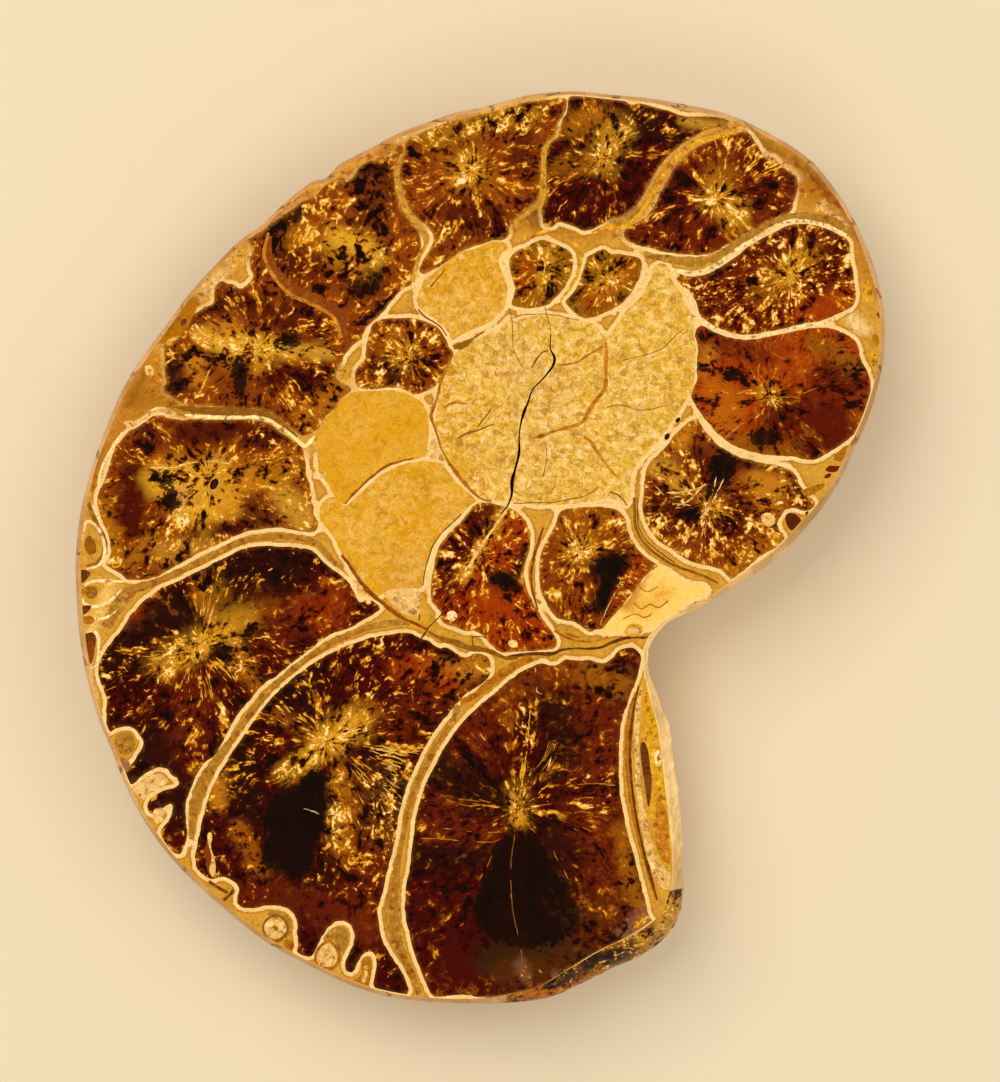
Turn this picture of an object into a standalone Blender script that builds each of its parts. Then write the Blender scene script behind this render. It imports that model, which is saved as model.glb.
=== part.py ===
"""Half of a chambered ammonite fossil, sawn along its coil and polished flat.

One solid grown as one piece: the flat cut face is up (+Z), the ribbed outside of the
shell is down, and the stone lies on the flank of its last whorl. All sizes are given in
millimetres here and turned into metres where the points are made.
"""
import math

import bmesh
import bpy
import numpy as np
from mathutils import Vector, noise

MM = 0.001

# --- the solid -------------------------------------------------------------------------
HALF_THICKNESS = 17.0       # cut face down to the flank the stone lies on
COIL_CENTRE = (5.4, 18.3)   # middle of the coil
COLUMNS = 240               # points round the rim
RIB_COUNT = 60              # low ribs round the outer flank, four columns each
RIB_HEIGHT = 0.34
FACE_ROUNDING = 0.22        # rounded edge left by polishing
WALL_ROUGHNESS = 0.55       # unevenness of the broken aperture wall

# Rim of the shell seen from above, counter-clockwise from the notch under the aperture:
# x, y of the edge, how far inside it the cut face stops, how far below the face it lies.
RIM = (
    (25.0, -7.9, 0.45, 1.0), (27.6, -6.6, 0.5, 1.2), (30.2, -5.0, 0.6, 1.5),
    (33.2, -3.1, 0.8, 1.8), (36.1, -1.0, 0.8, 1.8), (38.9, 2.0, 0.7, 1.6),
    (41.5, 5.2, 0.6, 1.4), (43.6, 8.7, 0.5, 1.2), (45.2, 12.2, 0.5, 1.2),
    (46.7, 15.6, 0.45, 1.0), (47.9, 19.6, 0.4, 0.9), (48.6, 23.5, 0.35, 0.8),
    (48.6, 27.5, 0.3, 0.7), (48.2, 30.5, 0.35, 0.8), (47.4, 33.7, 0.5, 1.0),
    (46.1, 37.0, 0.4, 0.8), (44.5, 40.2, 0.35, 0.7), (42.5, 43.3, 0.4, 0.8),
    (40.0, 46.3, 0.4, 0.8), (37.0, 48.5, 0.35, 0.7), (33.2, 50.6, 0.4, 0.8),
    (29.5, 52.2, 0.45, 0.9), (25.5, 53.1, 0.5, 1.0), (21.0, 53.9, 0.4, 0.8),
    (16.0, 54.4, 0.3, 0.7), (11.0, 54.8, 0.25, 0.6), (6.0, 54.4, 0.3, 0.8),
    (2.4, 53.5, 0.35, 0.9), (0.0, 52.85, 0.35, 0.9), (-2.6, 52.4, 0.4, 0.9),
    (-6.4, 51.1, 0.45, 1.0), (-9.5, 49.95, 0.45, 1.0), (-13.0, 48.1, 0.4, 0.9),
    (-16.8, 46.1, 0.4, 0.9), (-18.7, 44.3, 0.4, 0.9), (-19.9, 44.1, 0.35, 0.8),
    (-22.4, 42.3, 0.3, 0.7), (-25.2, 39.8, 0.3, 0.7), (-26.1, 38.8, 0.3, 0.7),
    (-28.6, 37.1, 0.3, 0.7), (-31.6, 34.2, 0.3, 0.7), (-34.7, 30.8, 0.3, 0.7),
    (-37.6, 26.9, 0.3, 0.7), (-40.0, 23.7, 0.35, 0.8), (-42.8, 19.3, 0.3, 0.7),
    (-44.9, 14.5, 0.35, 0.8), (-46.6, 9.8, 0.3, 0.7), (-48.0, 4.3, 0.35, 0.8),
    (-48.6, -1.0, 0.4, 1.0), (-48.5, -6.4, 0.4, 1.0), (-48.1, -11.2, 0.45, 1.1),
    (-47.2, -16.0, 0.4, 1.0), (-45.8, -20.8, 0.35, 0.9), (-44.3, -24.3, 0.3, 0.8),
    (-42.6, -28.7, 0.35, 0.8), (-40.3, -33.0, 0.35, 0.9), (-37.5, -36.9, 0.35, 0.9),
    (-34.4, -40.2, 0.4, 1.0), (-30.6, -43.6, 0.4, 1.0), (-25.6, -47.5, 0.35, 0.9),
    (-20.6, -50.2, 0.3, 0.8), (-15.6, -52.6, 0.35, 0.9), (-10.6, -54.1, 0.4, 1.0),
    (-5.0, -54.7, 0.4, 1.0), (0.0, -54.85, 0.5, 1.2), (4.0, -54.9, 1.1, 2.4),
    (8.0, -54.5, 1.8, 3.6), (12.0, -53.0, 2.5, 4.8), (16.0, -51.1, 2.9, 5.6),
    (19.6, -49.6, 3.1, 6.0), (22.4, -47.5, 2.9, 6.0), (24.0, -45.2, 2.5, 6.0),
    (24.55, -42.6, 1.9, 5.6), (24.6, -39.0, 1.3, 5.0), (24.3, -33.0, 1.35, 4.6),
    (23.6, -27.0, 1.35, 4.2), (22.7, -21.8, 1.1, 3.6), (21.3, -17.5, 0.8, 2.8),
    (20.25, -14.4, 0.45, 1.8), (20.25, -12.2, 0.4, 1.2), (21.2, -10.5, 0.4, 1.0),
    (22.8, -8.9, 0.4, 1.0),
)
BREAK_FROM, BREAK_TO = (8.0, -54.5), (21.2, -10.5)   # stretch of rim that is broken shell

# Thickness across the last whorl, from the seam round the umbilicus (0) to the rim (1).
WHORL_SECTION = (
    (0.0, 0.60), (0.04, 0.74), (0.09, 0.88), (0.15, 0.955), (0.25, 0.985), (0.38, 1.0),
    (0.5, 0.985), (0.62, 0.94), (0.73, 0.865), (0.83, 0.755), (0.91, 0.62), (0.96, 0.47),
    (0.99, 0.28), (1.0, 0.0),
)
# Thickness inside the umbilicus, from the coil centre (0) to the seam (1).
UMBILICUS_SECTION = (
    (0.0, 0.47), (0.2, 0.48), (0.3, 0.50), (0.44, 0.515), (0.5, 0.575), (0.7, 0.625),
    (0.9, 0.61), (1.0, 0.60),
)
SEAM_RADIUS_YOUNG, SEAM_RADIUS_OLD = 7.2, 15.5      # umbilicus at either end of the whorl

WALL_RINGS = 2                                       # between face edge and rim
FLANK_RINGS = (0.986, 0.955, 0.9, 0.82, 0.72, 0.61, 0.5)
INNER_RINGS = (0.4, 0.32, 0.25, 0.19)
CENTRE_RINGS = (0.13, 0.07)

# --- damage in the cut face ------------------------------------------------------------
CRACK_DEPTH = 1.1
CRACK = (                   # x, y, width of the open crack across the middle of the coil
    (8.4, 25.6, 0.14), (8.45, 23.8, 0.16), (8.95, 22.8, 0.32), (8.8, 21.9, 0.3),
    (7.5, 20.2, 0.18), (6.3, 18.9, 0.18), (5.75, 17.4, 0.2), (5.3, 16.3, 0.36),
    (4.9, 14.9, 0.2), (4.7, 13.3, 0.16), (4.7, 11.4, 0.32), (4.25, 9.5, 0.26),
    (3.85, 7.9, 0.46), (3.8, 6.3, 0.26), (3.3, 5.0, 0.18), (2.5, 4.0, 0.14),
)
PITS = (                    # x, y, long and short radius, turn (degrees), depth
    (-31.9, 7.6, 0.72, 0.46, 62.0, 0.9),
    (22.45, 13.3, 0.42, 0.3, 60.0, 0.6),
    (23.75, 15.3, 0.36, 0.24, 50.0, 0.6),
)
PIT_SIDES = 12


def smooth(value):
    """Ease from 0 to 1."""
    value = min(max(value, 0.0), 1.0)
    return value * value * (3.0 - 2.0 * value)


def closed_spline(points, steps=24):
    """Even, smooth loop through the given rows (centripetal Catmull-Rom)."""
    rows = np.array(points, dtype=float)
    count = len(rows)
    loop = []
    for k in range(count):
        a, b, c, d = (rows[(k + j - 1) % count] for j in range(4))
        t1 = math.dist(a[:2], b[:2]) ** 0.5
        t2 = t1 + math.dist(b[:2], c[:2]) ** 0.5
        t3 = t2 + math.dist(c[:2], d[:2]) ** 0.5
        for step in range(steps):
            t = t1 + (t2 - t1) * step / steps
            ab = a * (t1 - t) / t1 + b * t / t1
            bc = b * (t2 - t) / (t2 - t1) + c * (t - t1) / (t2 - t1)
            cd = c * (t3 - t) / (t3 - t2) + d * (t - t2) / (t3 - t2)
            abc = ab * (t2 - t) / t2 + bc * t / t2
            bcd = bc * (t3 - t) / (t3 - t1) + cd * (t - t1) / (t3 - t1)
            loop.append(abc * (t2 - t) / (t2 - t1) + bcd * (t - t1) / (t2 - t1))
    return np.array(loop)


def even_columns(loop, count):
    """Resample a closed loop at equal steps along its length."""
    closed = np.vstack([loop, loop[:1]])
    length = np.concatenate([[0.0], np.cumsum(np.hypot(*np.diff(closed[:, :2], axis=0).T))])
    at = np.linspace(0.0, length[-1], count, endpoint=False)
    return np.column_stack([np.interp(at, length, closed[:, k]) for k in range(4)])


def inward(points):
    """Unit directions into the shell, in the plane of the cut, of a counter-clockwise rim."""
    along = np.roll(points[:, :2], -1, axis=0) - np.roll(points[:, :2], 1, axis=0)
    normal = np.column_stack([-along[:, 1], along[:, 0]])
    return normal / np.linalg.norm(normal, axis=1)[:, None]


def on_break(rim):
    """How much each column belongs to the broken stretch of the rim (0 to 1)."""
    first = int(np.argmin(np.hypot(*(rim[:, :2] - BREAK_FROM).T)))
    last = int(np.argmin(np.hypot(*(rim[:, :2] - BREAK_TO).T)))
    weight = np.zeros(len(rim))
    for k in range(len(rim)):
        inside = min(k - first, last - k)
        weight[k] = smooth((inside + 4.0) / 8.0)
    return weight


def seam_radius(angle):
    """Radius of the seam round the umbilicus, which opens as the shell grows."""
    start = math.atan2(-12.0 - COIL_CENTRE[1], 21.0 - COIL_CENTRE[0])
    turn = ((angle - start) / math.tau) % 1.0
    radius = SEAM_RADIUS_YOUNG * (SEAM_RADIUS_OLD / SEAM_RADIUS_YOUNG) ** turn
    back = smooth((turn - 0.93) / 0.07)
    return radius * (1.0 - back) + SEAM_RADIUS_YOUNG * back


def section(table, where):
    """Thickness share from a section table."""
    return float(np.interp(where, [row[0] for row in table], [row[1] for row in table]))


def flank_z(x, y, radius, reach, column, drop, broken):
    """Height of the shell's outside at one point."""
    seam = seam_radius(math.atan2(y - COIL_CENTRE[1], x - COIL_CENTRE[0]))
    if radius < seam:
        share = section(UMBILICUS_SECTION, radius / seam)
        return HALF_THICKNESS * (1.0 - share)
    across = (radius - seam) / (reach - seam)
    depth = max(HALF_THICKNESS * section(WHORL_SECTION, across), drop)
    ribbed = smooth((across - 0.34) / 0.25) * (1.0 - smooth((across - 0.9) / 0.09))
    bend = 0.9 * math.sin(math.pi * across * 1.5)
    phase = math.tau * RIB_COUNT * column / COLUMNS + bend
    depth += RIB_HEIGHT * ribbed * (1.0 - broken) * (0.5 * math.cos(phase) - 0.5)
    depth += 0.12 * noise.noise(Vector((x * 0.09, y * 0.09, 3.0))) * smooth(across * 3.0)
    return HALF_THICKNESS - depth


def shell_rings():
    """Rings of points from the edge of the cut face, over the rim, to the umbilicus."""
    rim = even_columns(closed_spline(RIM), COLUMNS)
    into = inward(rim)
    broken = on_break(rim)
    centre = np.array(COIL_CENTRE)
    rings = []
    for inset, drop in ((FACE_ROUNDING, 0.0), (0.0, FACE_ROUNDING)):
        edge = rim[:, :2] + into * (rim[:, 2] + inset)[:, None]
        rings.append([(x, y, HALF_THICKNESS - drop) for x, y in edge])
    for step in range(1, WALL_RINGS + 1):
        part = step / (WALL_RINGS + 1.0)
        ring = []
        for k, (x, y, inset, drop) in enumerate(rim):
            rough = WALL_ROUGHNESS * broken[k]
            out = inset * (1.0 - part) ** 1.5
            out += rough * noise.noise(Vector((x * 0.45, y * 0.45, part * 7.0)))
            ring.append((x + into[k, 0] * out, y + into[k, 1] * out,
                         HALF_THICKNESS - FACE_ROUNDING - (drop - FACE_ROUNDING) * part))
        rings.append(ring)
    rings.append([(x, y, HALF_THICKNESS - drop) for x, y, _, drop in rim])
    for share, stride in ([(f, 1) for f in FLANK_RINGS] + [(f, 2) for f in INNER_RINGS]
                          + [(f, 4) for f in CENTRE_RINGS]):
        ring = []
        for k in range(0, COLUMNS, stride):
            reach = math.dist(rim[k, :2], centre)
            x, y = centre + (rim[k, :2] - centre) * share
            z = flank_z(x, y, reach * share, reach, k, rim[k, 3], broken[k])
            ring.append((x, y, z))
        rings.append(ring)
    middle = HALF_THICKNESS * (1.0 - UMBILICUS_SECTION[0][1])
    lowest = min(z for ring in rings for _, _, z in ring)
    rings = [[(x, y, z - lowest) for x, y, z in ring] for ring in rings]
    return rings, (centre[0], centre[1], middle - lowest)


def bridge(bm, outer, inner):
    """Join two rings of vertices; the inner one may have half as many."""
    count = len(outer)
    if len(inner) == count:
        for k in range(count):
            n = (k + 1) % count
            bm.faces.new((outer[k], outer[n], inner[n], inner[k]))
        return
    for k in range(len(inner)):
        n = (k + 1) % len(inner)
        left, mid, right = outer[2 * k], outer[2 * k + 1], outer[(2 * k + 2) % count]
        bm.faces.new((left, mid, inner[k]))
        bm.faces.new((mid, inner[n], inner[k]))
        bm.faces.new((mid, right, inner[n]))


def half_shell():
    """The whole solid before the crack and the pits are cut."""
    rings, middle = shell_rings()
    bm = bmesh.new()
    rows = [[bm.verts.new(Vector(p) * MM) for p in ring] for ring in rings]
    bm.faces.new(rows[0])
    for outer, inner in zip(rows, rows[1:]):
        bridge(bm, outer, inner)
    tip = bm.verts.new(Vector(middle) * MM)
    last = rows[-1]
    for k in range(len(last)):
        bm.faces.new((last[k], last[(k + 1) % len(last)], tip))
    bmesh.ops.recalc_face_normals(bm, faces=bm.faces)
    mesh = bpy.data.meshes.new("ammonite_half")
    bm.to_mesh(mesh)
    bm.free()
    return mesh, max(p[2] for p in rings[0])


def crack_and_pits(face_z):
    """Closed wedges and cups that cut the damage into the face."""
    bm = bmesh.new()
    top, bottom = face_z + 0.5, face_z - CRACK_DEPTH
    path = np.array(CRACK)
    along = np.gradient(path[:, :2], axis=0)
    along /= np.linalg.norm(along, axis=1)[:, None]
    rows = []
    for (x, y, width), (ax, ay) in zip(path, along):
        side = Vector((-ay, ax, 0.0)) * width * 0.5
        middle = Vector((x, y, 0.0))
        rows.append([bm.verts.new((middle + side * s + Vector((0.0, 0.0, z))) * MM)
                     for s, z in ((1.45, top), (-1.45, top), (-0.1, bottom), (0.1, bottom))])
    for near, far in zip(rows, rows[1:]):
        bridge(bm, near, far)
    bm.faces.new(rows[0])
    bm.faces.new(rows[-1])
    for x, y, long_radius, short_radius, turn, depth in PITS:
        axis = Vector((math.cos(math.radians(turn)), math.sin(math.radians(turn)), 0.0))
        side = Vector((-axis.y, axis.x, 0.0))
        cup = []
        for z, size in ((top, 1.1), (face_z, 1.0), (face_z - depth, 0.55)):
            cup.append([bm.verts.new((Vector((x, y, z))
                                      + axis * long_radius * size * math.cos(a)
                                      + side * short_radius * size * math.sin(a)) * MM)
                        for a in (math.tau * k / PIT_SIDES for k in range(PIT_SIDES))])
        for near, far in zip(cup, cup[1:]):
            bridge(bm, near, far)
        bm.faces.new(cup[0])
        bm.faces.new(cup[-1])
    bmesh.ops.recalc_face_normals(bm, faces=bm.faces)
    mesh = bpy.data.meshes.new("crack_and_pits")
    bm.to_mesh(mesh)
    bm.free()
    return mesh


def stone():
    """Brown and golden calcite with a polish."""
    material = bpy.data.materials.new("polished_calcite")
    material.use_nodes = True
    shader = material.node_tree.nodes["Principled BSDF"]
    shader.inputs["Base Color"].default_value = (0.32, 0.14, 0.03, 1.0)
    shader.inputs["Roughness"].default_value = 0.28
    shader.inputs["Metallic"].default_value = 0.0
    return material


def collection(name):
    """A new collection in the scene."""
    made = bpy.data.collections.new(name)
    bpy.context.scene.collection.children.link(made)
    return made


def build():
    """Make the fossil."""
    for item in list(bpy.data.objects):
        bpy.data.objects.remove(item, do_unlink=True)
    parts = collection("ammonite")
    cutters = collection("cutters")
    mesh, face_z = half_shell()
    fossil = bpy.data.objects.new("ammonite_half", mesh)
    parts.objects.link(fossil)
    mesh.materials.append(stone())
    cutter = bpy.data.objects.new("crack_and_pits", crack_and_pits(face_z))
    cutters.objects.link(cutter)
    cutter.hide_render = True
    cutter.display_type = "WIRE"
    cut = fossil.modifiers.new("crack_and_pits", "BOOLEAN")
    cut.operation = "DIFFERENCE"
    cut.solver = "EXACT"
    cut.object = cutter
    mesh.shade_smooth()
    mesh.set_sharp_from_angle(angle=math.radians(38.0))


build()
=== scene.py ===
import math
import random
from collections import namedtuple

import bpy
import numpy as np
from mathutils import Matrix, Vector, noise
from mathutils.geometry import delaunay_2d_cdt
from mathutils.kdtree import KDTree


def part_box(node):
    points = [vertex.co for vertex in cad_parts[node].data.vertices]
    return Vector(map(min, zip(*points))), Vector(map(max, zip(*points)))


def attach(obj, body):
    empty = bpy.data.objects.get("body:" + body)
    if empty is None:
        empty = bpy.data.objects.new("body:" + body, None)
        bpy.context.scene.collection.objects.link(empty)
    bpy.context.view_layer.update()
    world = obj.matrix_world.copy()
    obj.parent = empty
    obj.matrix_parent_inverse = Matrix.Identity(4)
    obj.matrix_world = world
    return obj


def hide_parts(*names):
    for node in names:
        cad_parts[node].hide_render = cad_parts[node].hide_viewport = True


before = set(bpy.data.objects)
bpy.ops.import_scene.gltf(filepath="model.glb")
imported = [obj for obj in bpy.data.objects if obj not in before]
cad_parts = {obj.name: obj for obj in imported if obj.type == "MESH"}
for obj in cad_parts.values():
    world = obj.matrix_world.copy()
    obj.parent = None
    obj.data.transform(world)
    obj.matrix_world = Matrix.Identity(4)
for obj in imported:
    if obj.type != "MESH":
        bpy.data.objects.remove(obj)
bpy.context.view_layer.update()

# Half of a chambered ammonite, sawn and polished. The fossil is one closed mesh: a flat cut
# face divided into chambers, walls and mud fillings, and the ribbed outside of the shell.
# Lengths are in millimetres until the points are made.

MM = 0.001
NODE = "ammonite_half"
FACE_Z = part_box(NODE)[1].z / MM
COIL_CENTRE = (5.4, 18.3)
NOTCH = (21.0, -12.0)

# --------------------------------------------------------------------------------------
# Colours, given in sRGB.
TONES = {
    # black-brown, maroon and rust
    "K": (17, 6, 2), "X": (34, 11, 3), "M": (66, 7, 2), "R": (100, 30, 3), "E": (148, 50, 1),
    # browns and olives; P also serves as painted sheen along the polished lower edge
    "O": (46, 30, 6), "D": (84, 36, 3), "B": (126, 54, 4), "L": (132, 82, 6), "P": (142, 98, 66),
    "J": (166, 116, 36), "V": (170, 118, 18),
    # amber and gold
    "A": (168, 102, 8), "N": (182, 100, 8), "Z": (186, 116, 22), "Q": (196, 142, 40),
    "H": (204, 146, 46), "G": (216, 156, 30), "Y": (220, 156, 16), "U": (224, 175, 58),
    # tan and cream
    "F": (200, 154, 98), "S": (226, 178, 96), "C": (230, 182, 106), "T": (238, 190, 102),
    "I": (247, 196, 98), "W": (252, 214, 146),
}

# --------------------------------------------------------------------------------------
# The rim, counter-clockwise from the notch: x, y, how far inside it the cut face stops,
# how far below the face it lies.
RIM = (
    (25.0, -7.9, 0.45, 1.0), (27.6, -6.6, 0.5, 1.2), (30.2, -5.0, 0.6, 1.5),
    (33.2, -3.1, 0.8, 1.8), (36.1, -1.0, 0.8, 1.8), (38.9, 2.0, 0.7, 1.6),
    (41.5, 5.2, 0.6, 1.4), (43.6, 8.7, 0.5, 1.2), (45.2, 12.2, 0.5, 1.2),
    (46.7, 15.6, 0.45, 1.0), (47.9, 19.6, 0.4, 0.9), (48.6, 23.5, 0.35, 0.8),
    (48.6, 27.5, 0.3, 0.7), (48.2, 30.5, 0.35, 0.8), (47.4, 33.7, 0.5, 1.0),
    (46.1, 37.0, 0.4, 0.8), (44.5, 40.2, 0.35, 0.7), (42.5, 43.3, 0.4, 0.8),
    (40.0, 46.3, 0.4, 0.8), (37.0, 48.5, 0.35, 0.7), (33.2, 50.6, 0.4, 0.8),
    (29.5, 52.2, 0.45, 0.9), (25.5, 53.1, 0.5, 1.0), (21.0, 53.9, 0.4, 0.8),
    (16.0, 54.4, 0.3, 0.7), (11.0, 54.8, 0.25, 0.6), (6.0, 54.4, 0.3, 0.8),
    (2.4, 53.5, 0.35, 0.9), (0.0, 52.85, 0.35, 0.9), (-2.6, 52.4, 0.4, 0.9),
    (-6.4, 51.1, 0.45, 1.0), (-9.5, 49.95, 0.45, 1.0), (-13.0, 48.1, 0.4, 0.9),
    (-16.8, 46.1, 0.4, 0.9), (-18.7, 44.3, 0.4, 0.9), (-19.9, 44.1, 0.35, 0.8),
    (-22.4, 42.3, 0.3, 0.7), (-25.2, 39.8, 0.3, 0.7), (-26.1, 38.8, 0.3, 0.7),
    (-28.6, 37.1, 0.3, 0.7), (-31.6, 34.2, 0.3, 0.7), (-34.7, 30.8, 0.3, 0.7),
    (-37.6, 26.9, 0.3, 0.7), (-40.0, 23.7, 0.35, 0.8), (-42.8, 19.3, 0.3, 0.7),
    (-44.9, 14.5, 0.35, 0.8), (-46.6, 9.8, 0.3, 0.7), (-48.0, 4.3, 0.35, 0.8),
    (-48.6, -1.0, 0.4, 1.0), (-48.5, -6.4, 0.4, 1.0), (-48.1, -11.2, 0.45, 1.1),
    (-47.2, -16.0, 0.4, 1.0), (-45.8, -20.8, 0.35, 0.9), (-44.3, -24.3, 0.3, 0.8),
    (-42.6, -28.7, 0.35, 0.8), (-40.3, -33.0, 0.35, 0.9), (-37.5, -36.9, 0.35, 0.9),
    (-34.4, -40.2, 0.4, 1.0), (-30.6, -43.6, 0.4, 1.0), (-25.6, -47.5, 0.35, 0.9),
    (-20.6, -50.2, 0.3, 0.8), (-15.6, -52.6, 0.35, 0.9), (-10.6, -54.1, 0.4, 1.0),
    (-5.0, -54.7, 0.4, 1.0), (0.0, -54.85, 0.5, 1.2), (4.0, -54.9, 1.1, 2.4),
    (8.0, -54.5, 1.8, 3.6), (12.0, -53.0, 2.5, 4.8), (16.0, -51.1, 2.9, 5.6),
    (19.6, -49.6, 3.1, 6.0), (22.4, -47.5, 2.9, 6.0), (24.0, -45.2, 2.5, 6.0),
    (24.55, -42.6, 1.9, 5.6), (24.6, -39.0, 1.3, 5.0), (24.3, -33.0, 1.35, 4.6),
    (23.6, -27.0, 1.35, 4.2), (22.7, -21.8, 1.1, 3.6), (21.3, -17.5, 0.8, 2.8),
    (20.25, -14.4, 0.45, 1.8), (20.25, -12.2, 0.4, 1.2), (21.2, -10.5, 0.4, 1.0),
    (22.8, -8.9, 0.4, 1.0),
)
BREAK_FROM, BREAK_TO = (8.0, -54.5), (21.2, -10.5)      # the broken stretch of the rim
BREAK_BLEND = 12.0          # columns over which the break fades in
WALL_ROUGHNESS = 0.55       # of the broken stretch
HALF_THICKNESS = 17.0
RIB_COUNT, RIB_HEIGHT = 60, 0.34
FACE_ROUNDING = 0.22        # of the edge between the cut face and the rim
COLUMNS = 720               # points round the rim
WALL_RINGS = 5              # between the cut face and the rim's widest line
FLANK_RINGS = tuple(1.0 - 0.5 * (k / 30.0) ** 1.7 for k in range(1, 31))
INNER_RINGS = tuple(0.5 - 0.0165 * k for k in range(1, 27))
SEAM_RADIUS_YOUNG, SEAM_RADIUS_OLD = 7.2, 15.5
SUTURES = tuple(-80.0 - 11.5 * k for k in range(26))    # degrees round the coil

# Depth across the whorl (from the seam to the rim) and across the umbilicus (from the middle
# to the seam), both as shares of the half thickness.
WHORL_SECTION = (
    (0.0, 0.60), (0.04, 0.74), (0.09, 0.88), (0.15, 0.955), (0.25, 0.985), (0.38, 1.0),
    (0.5, 0.985), (0.62, 0.94), (0.73, 0.865), (0.83, 0.755), (0.91, 0.62), (0.96, 0.47),
    (0.99, 0.28), (1.0, 0.0),
)
UMBILICUS_SECTION = (
    (0.0, 0.47), (0.2, 0.48), (0.3, 0.50), (0.44, 0.515), (0.5, 0.575), (0.7, 0.625),
    (0.9, 0.61), (1.0, 0.60),
)

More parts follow.
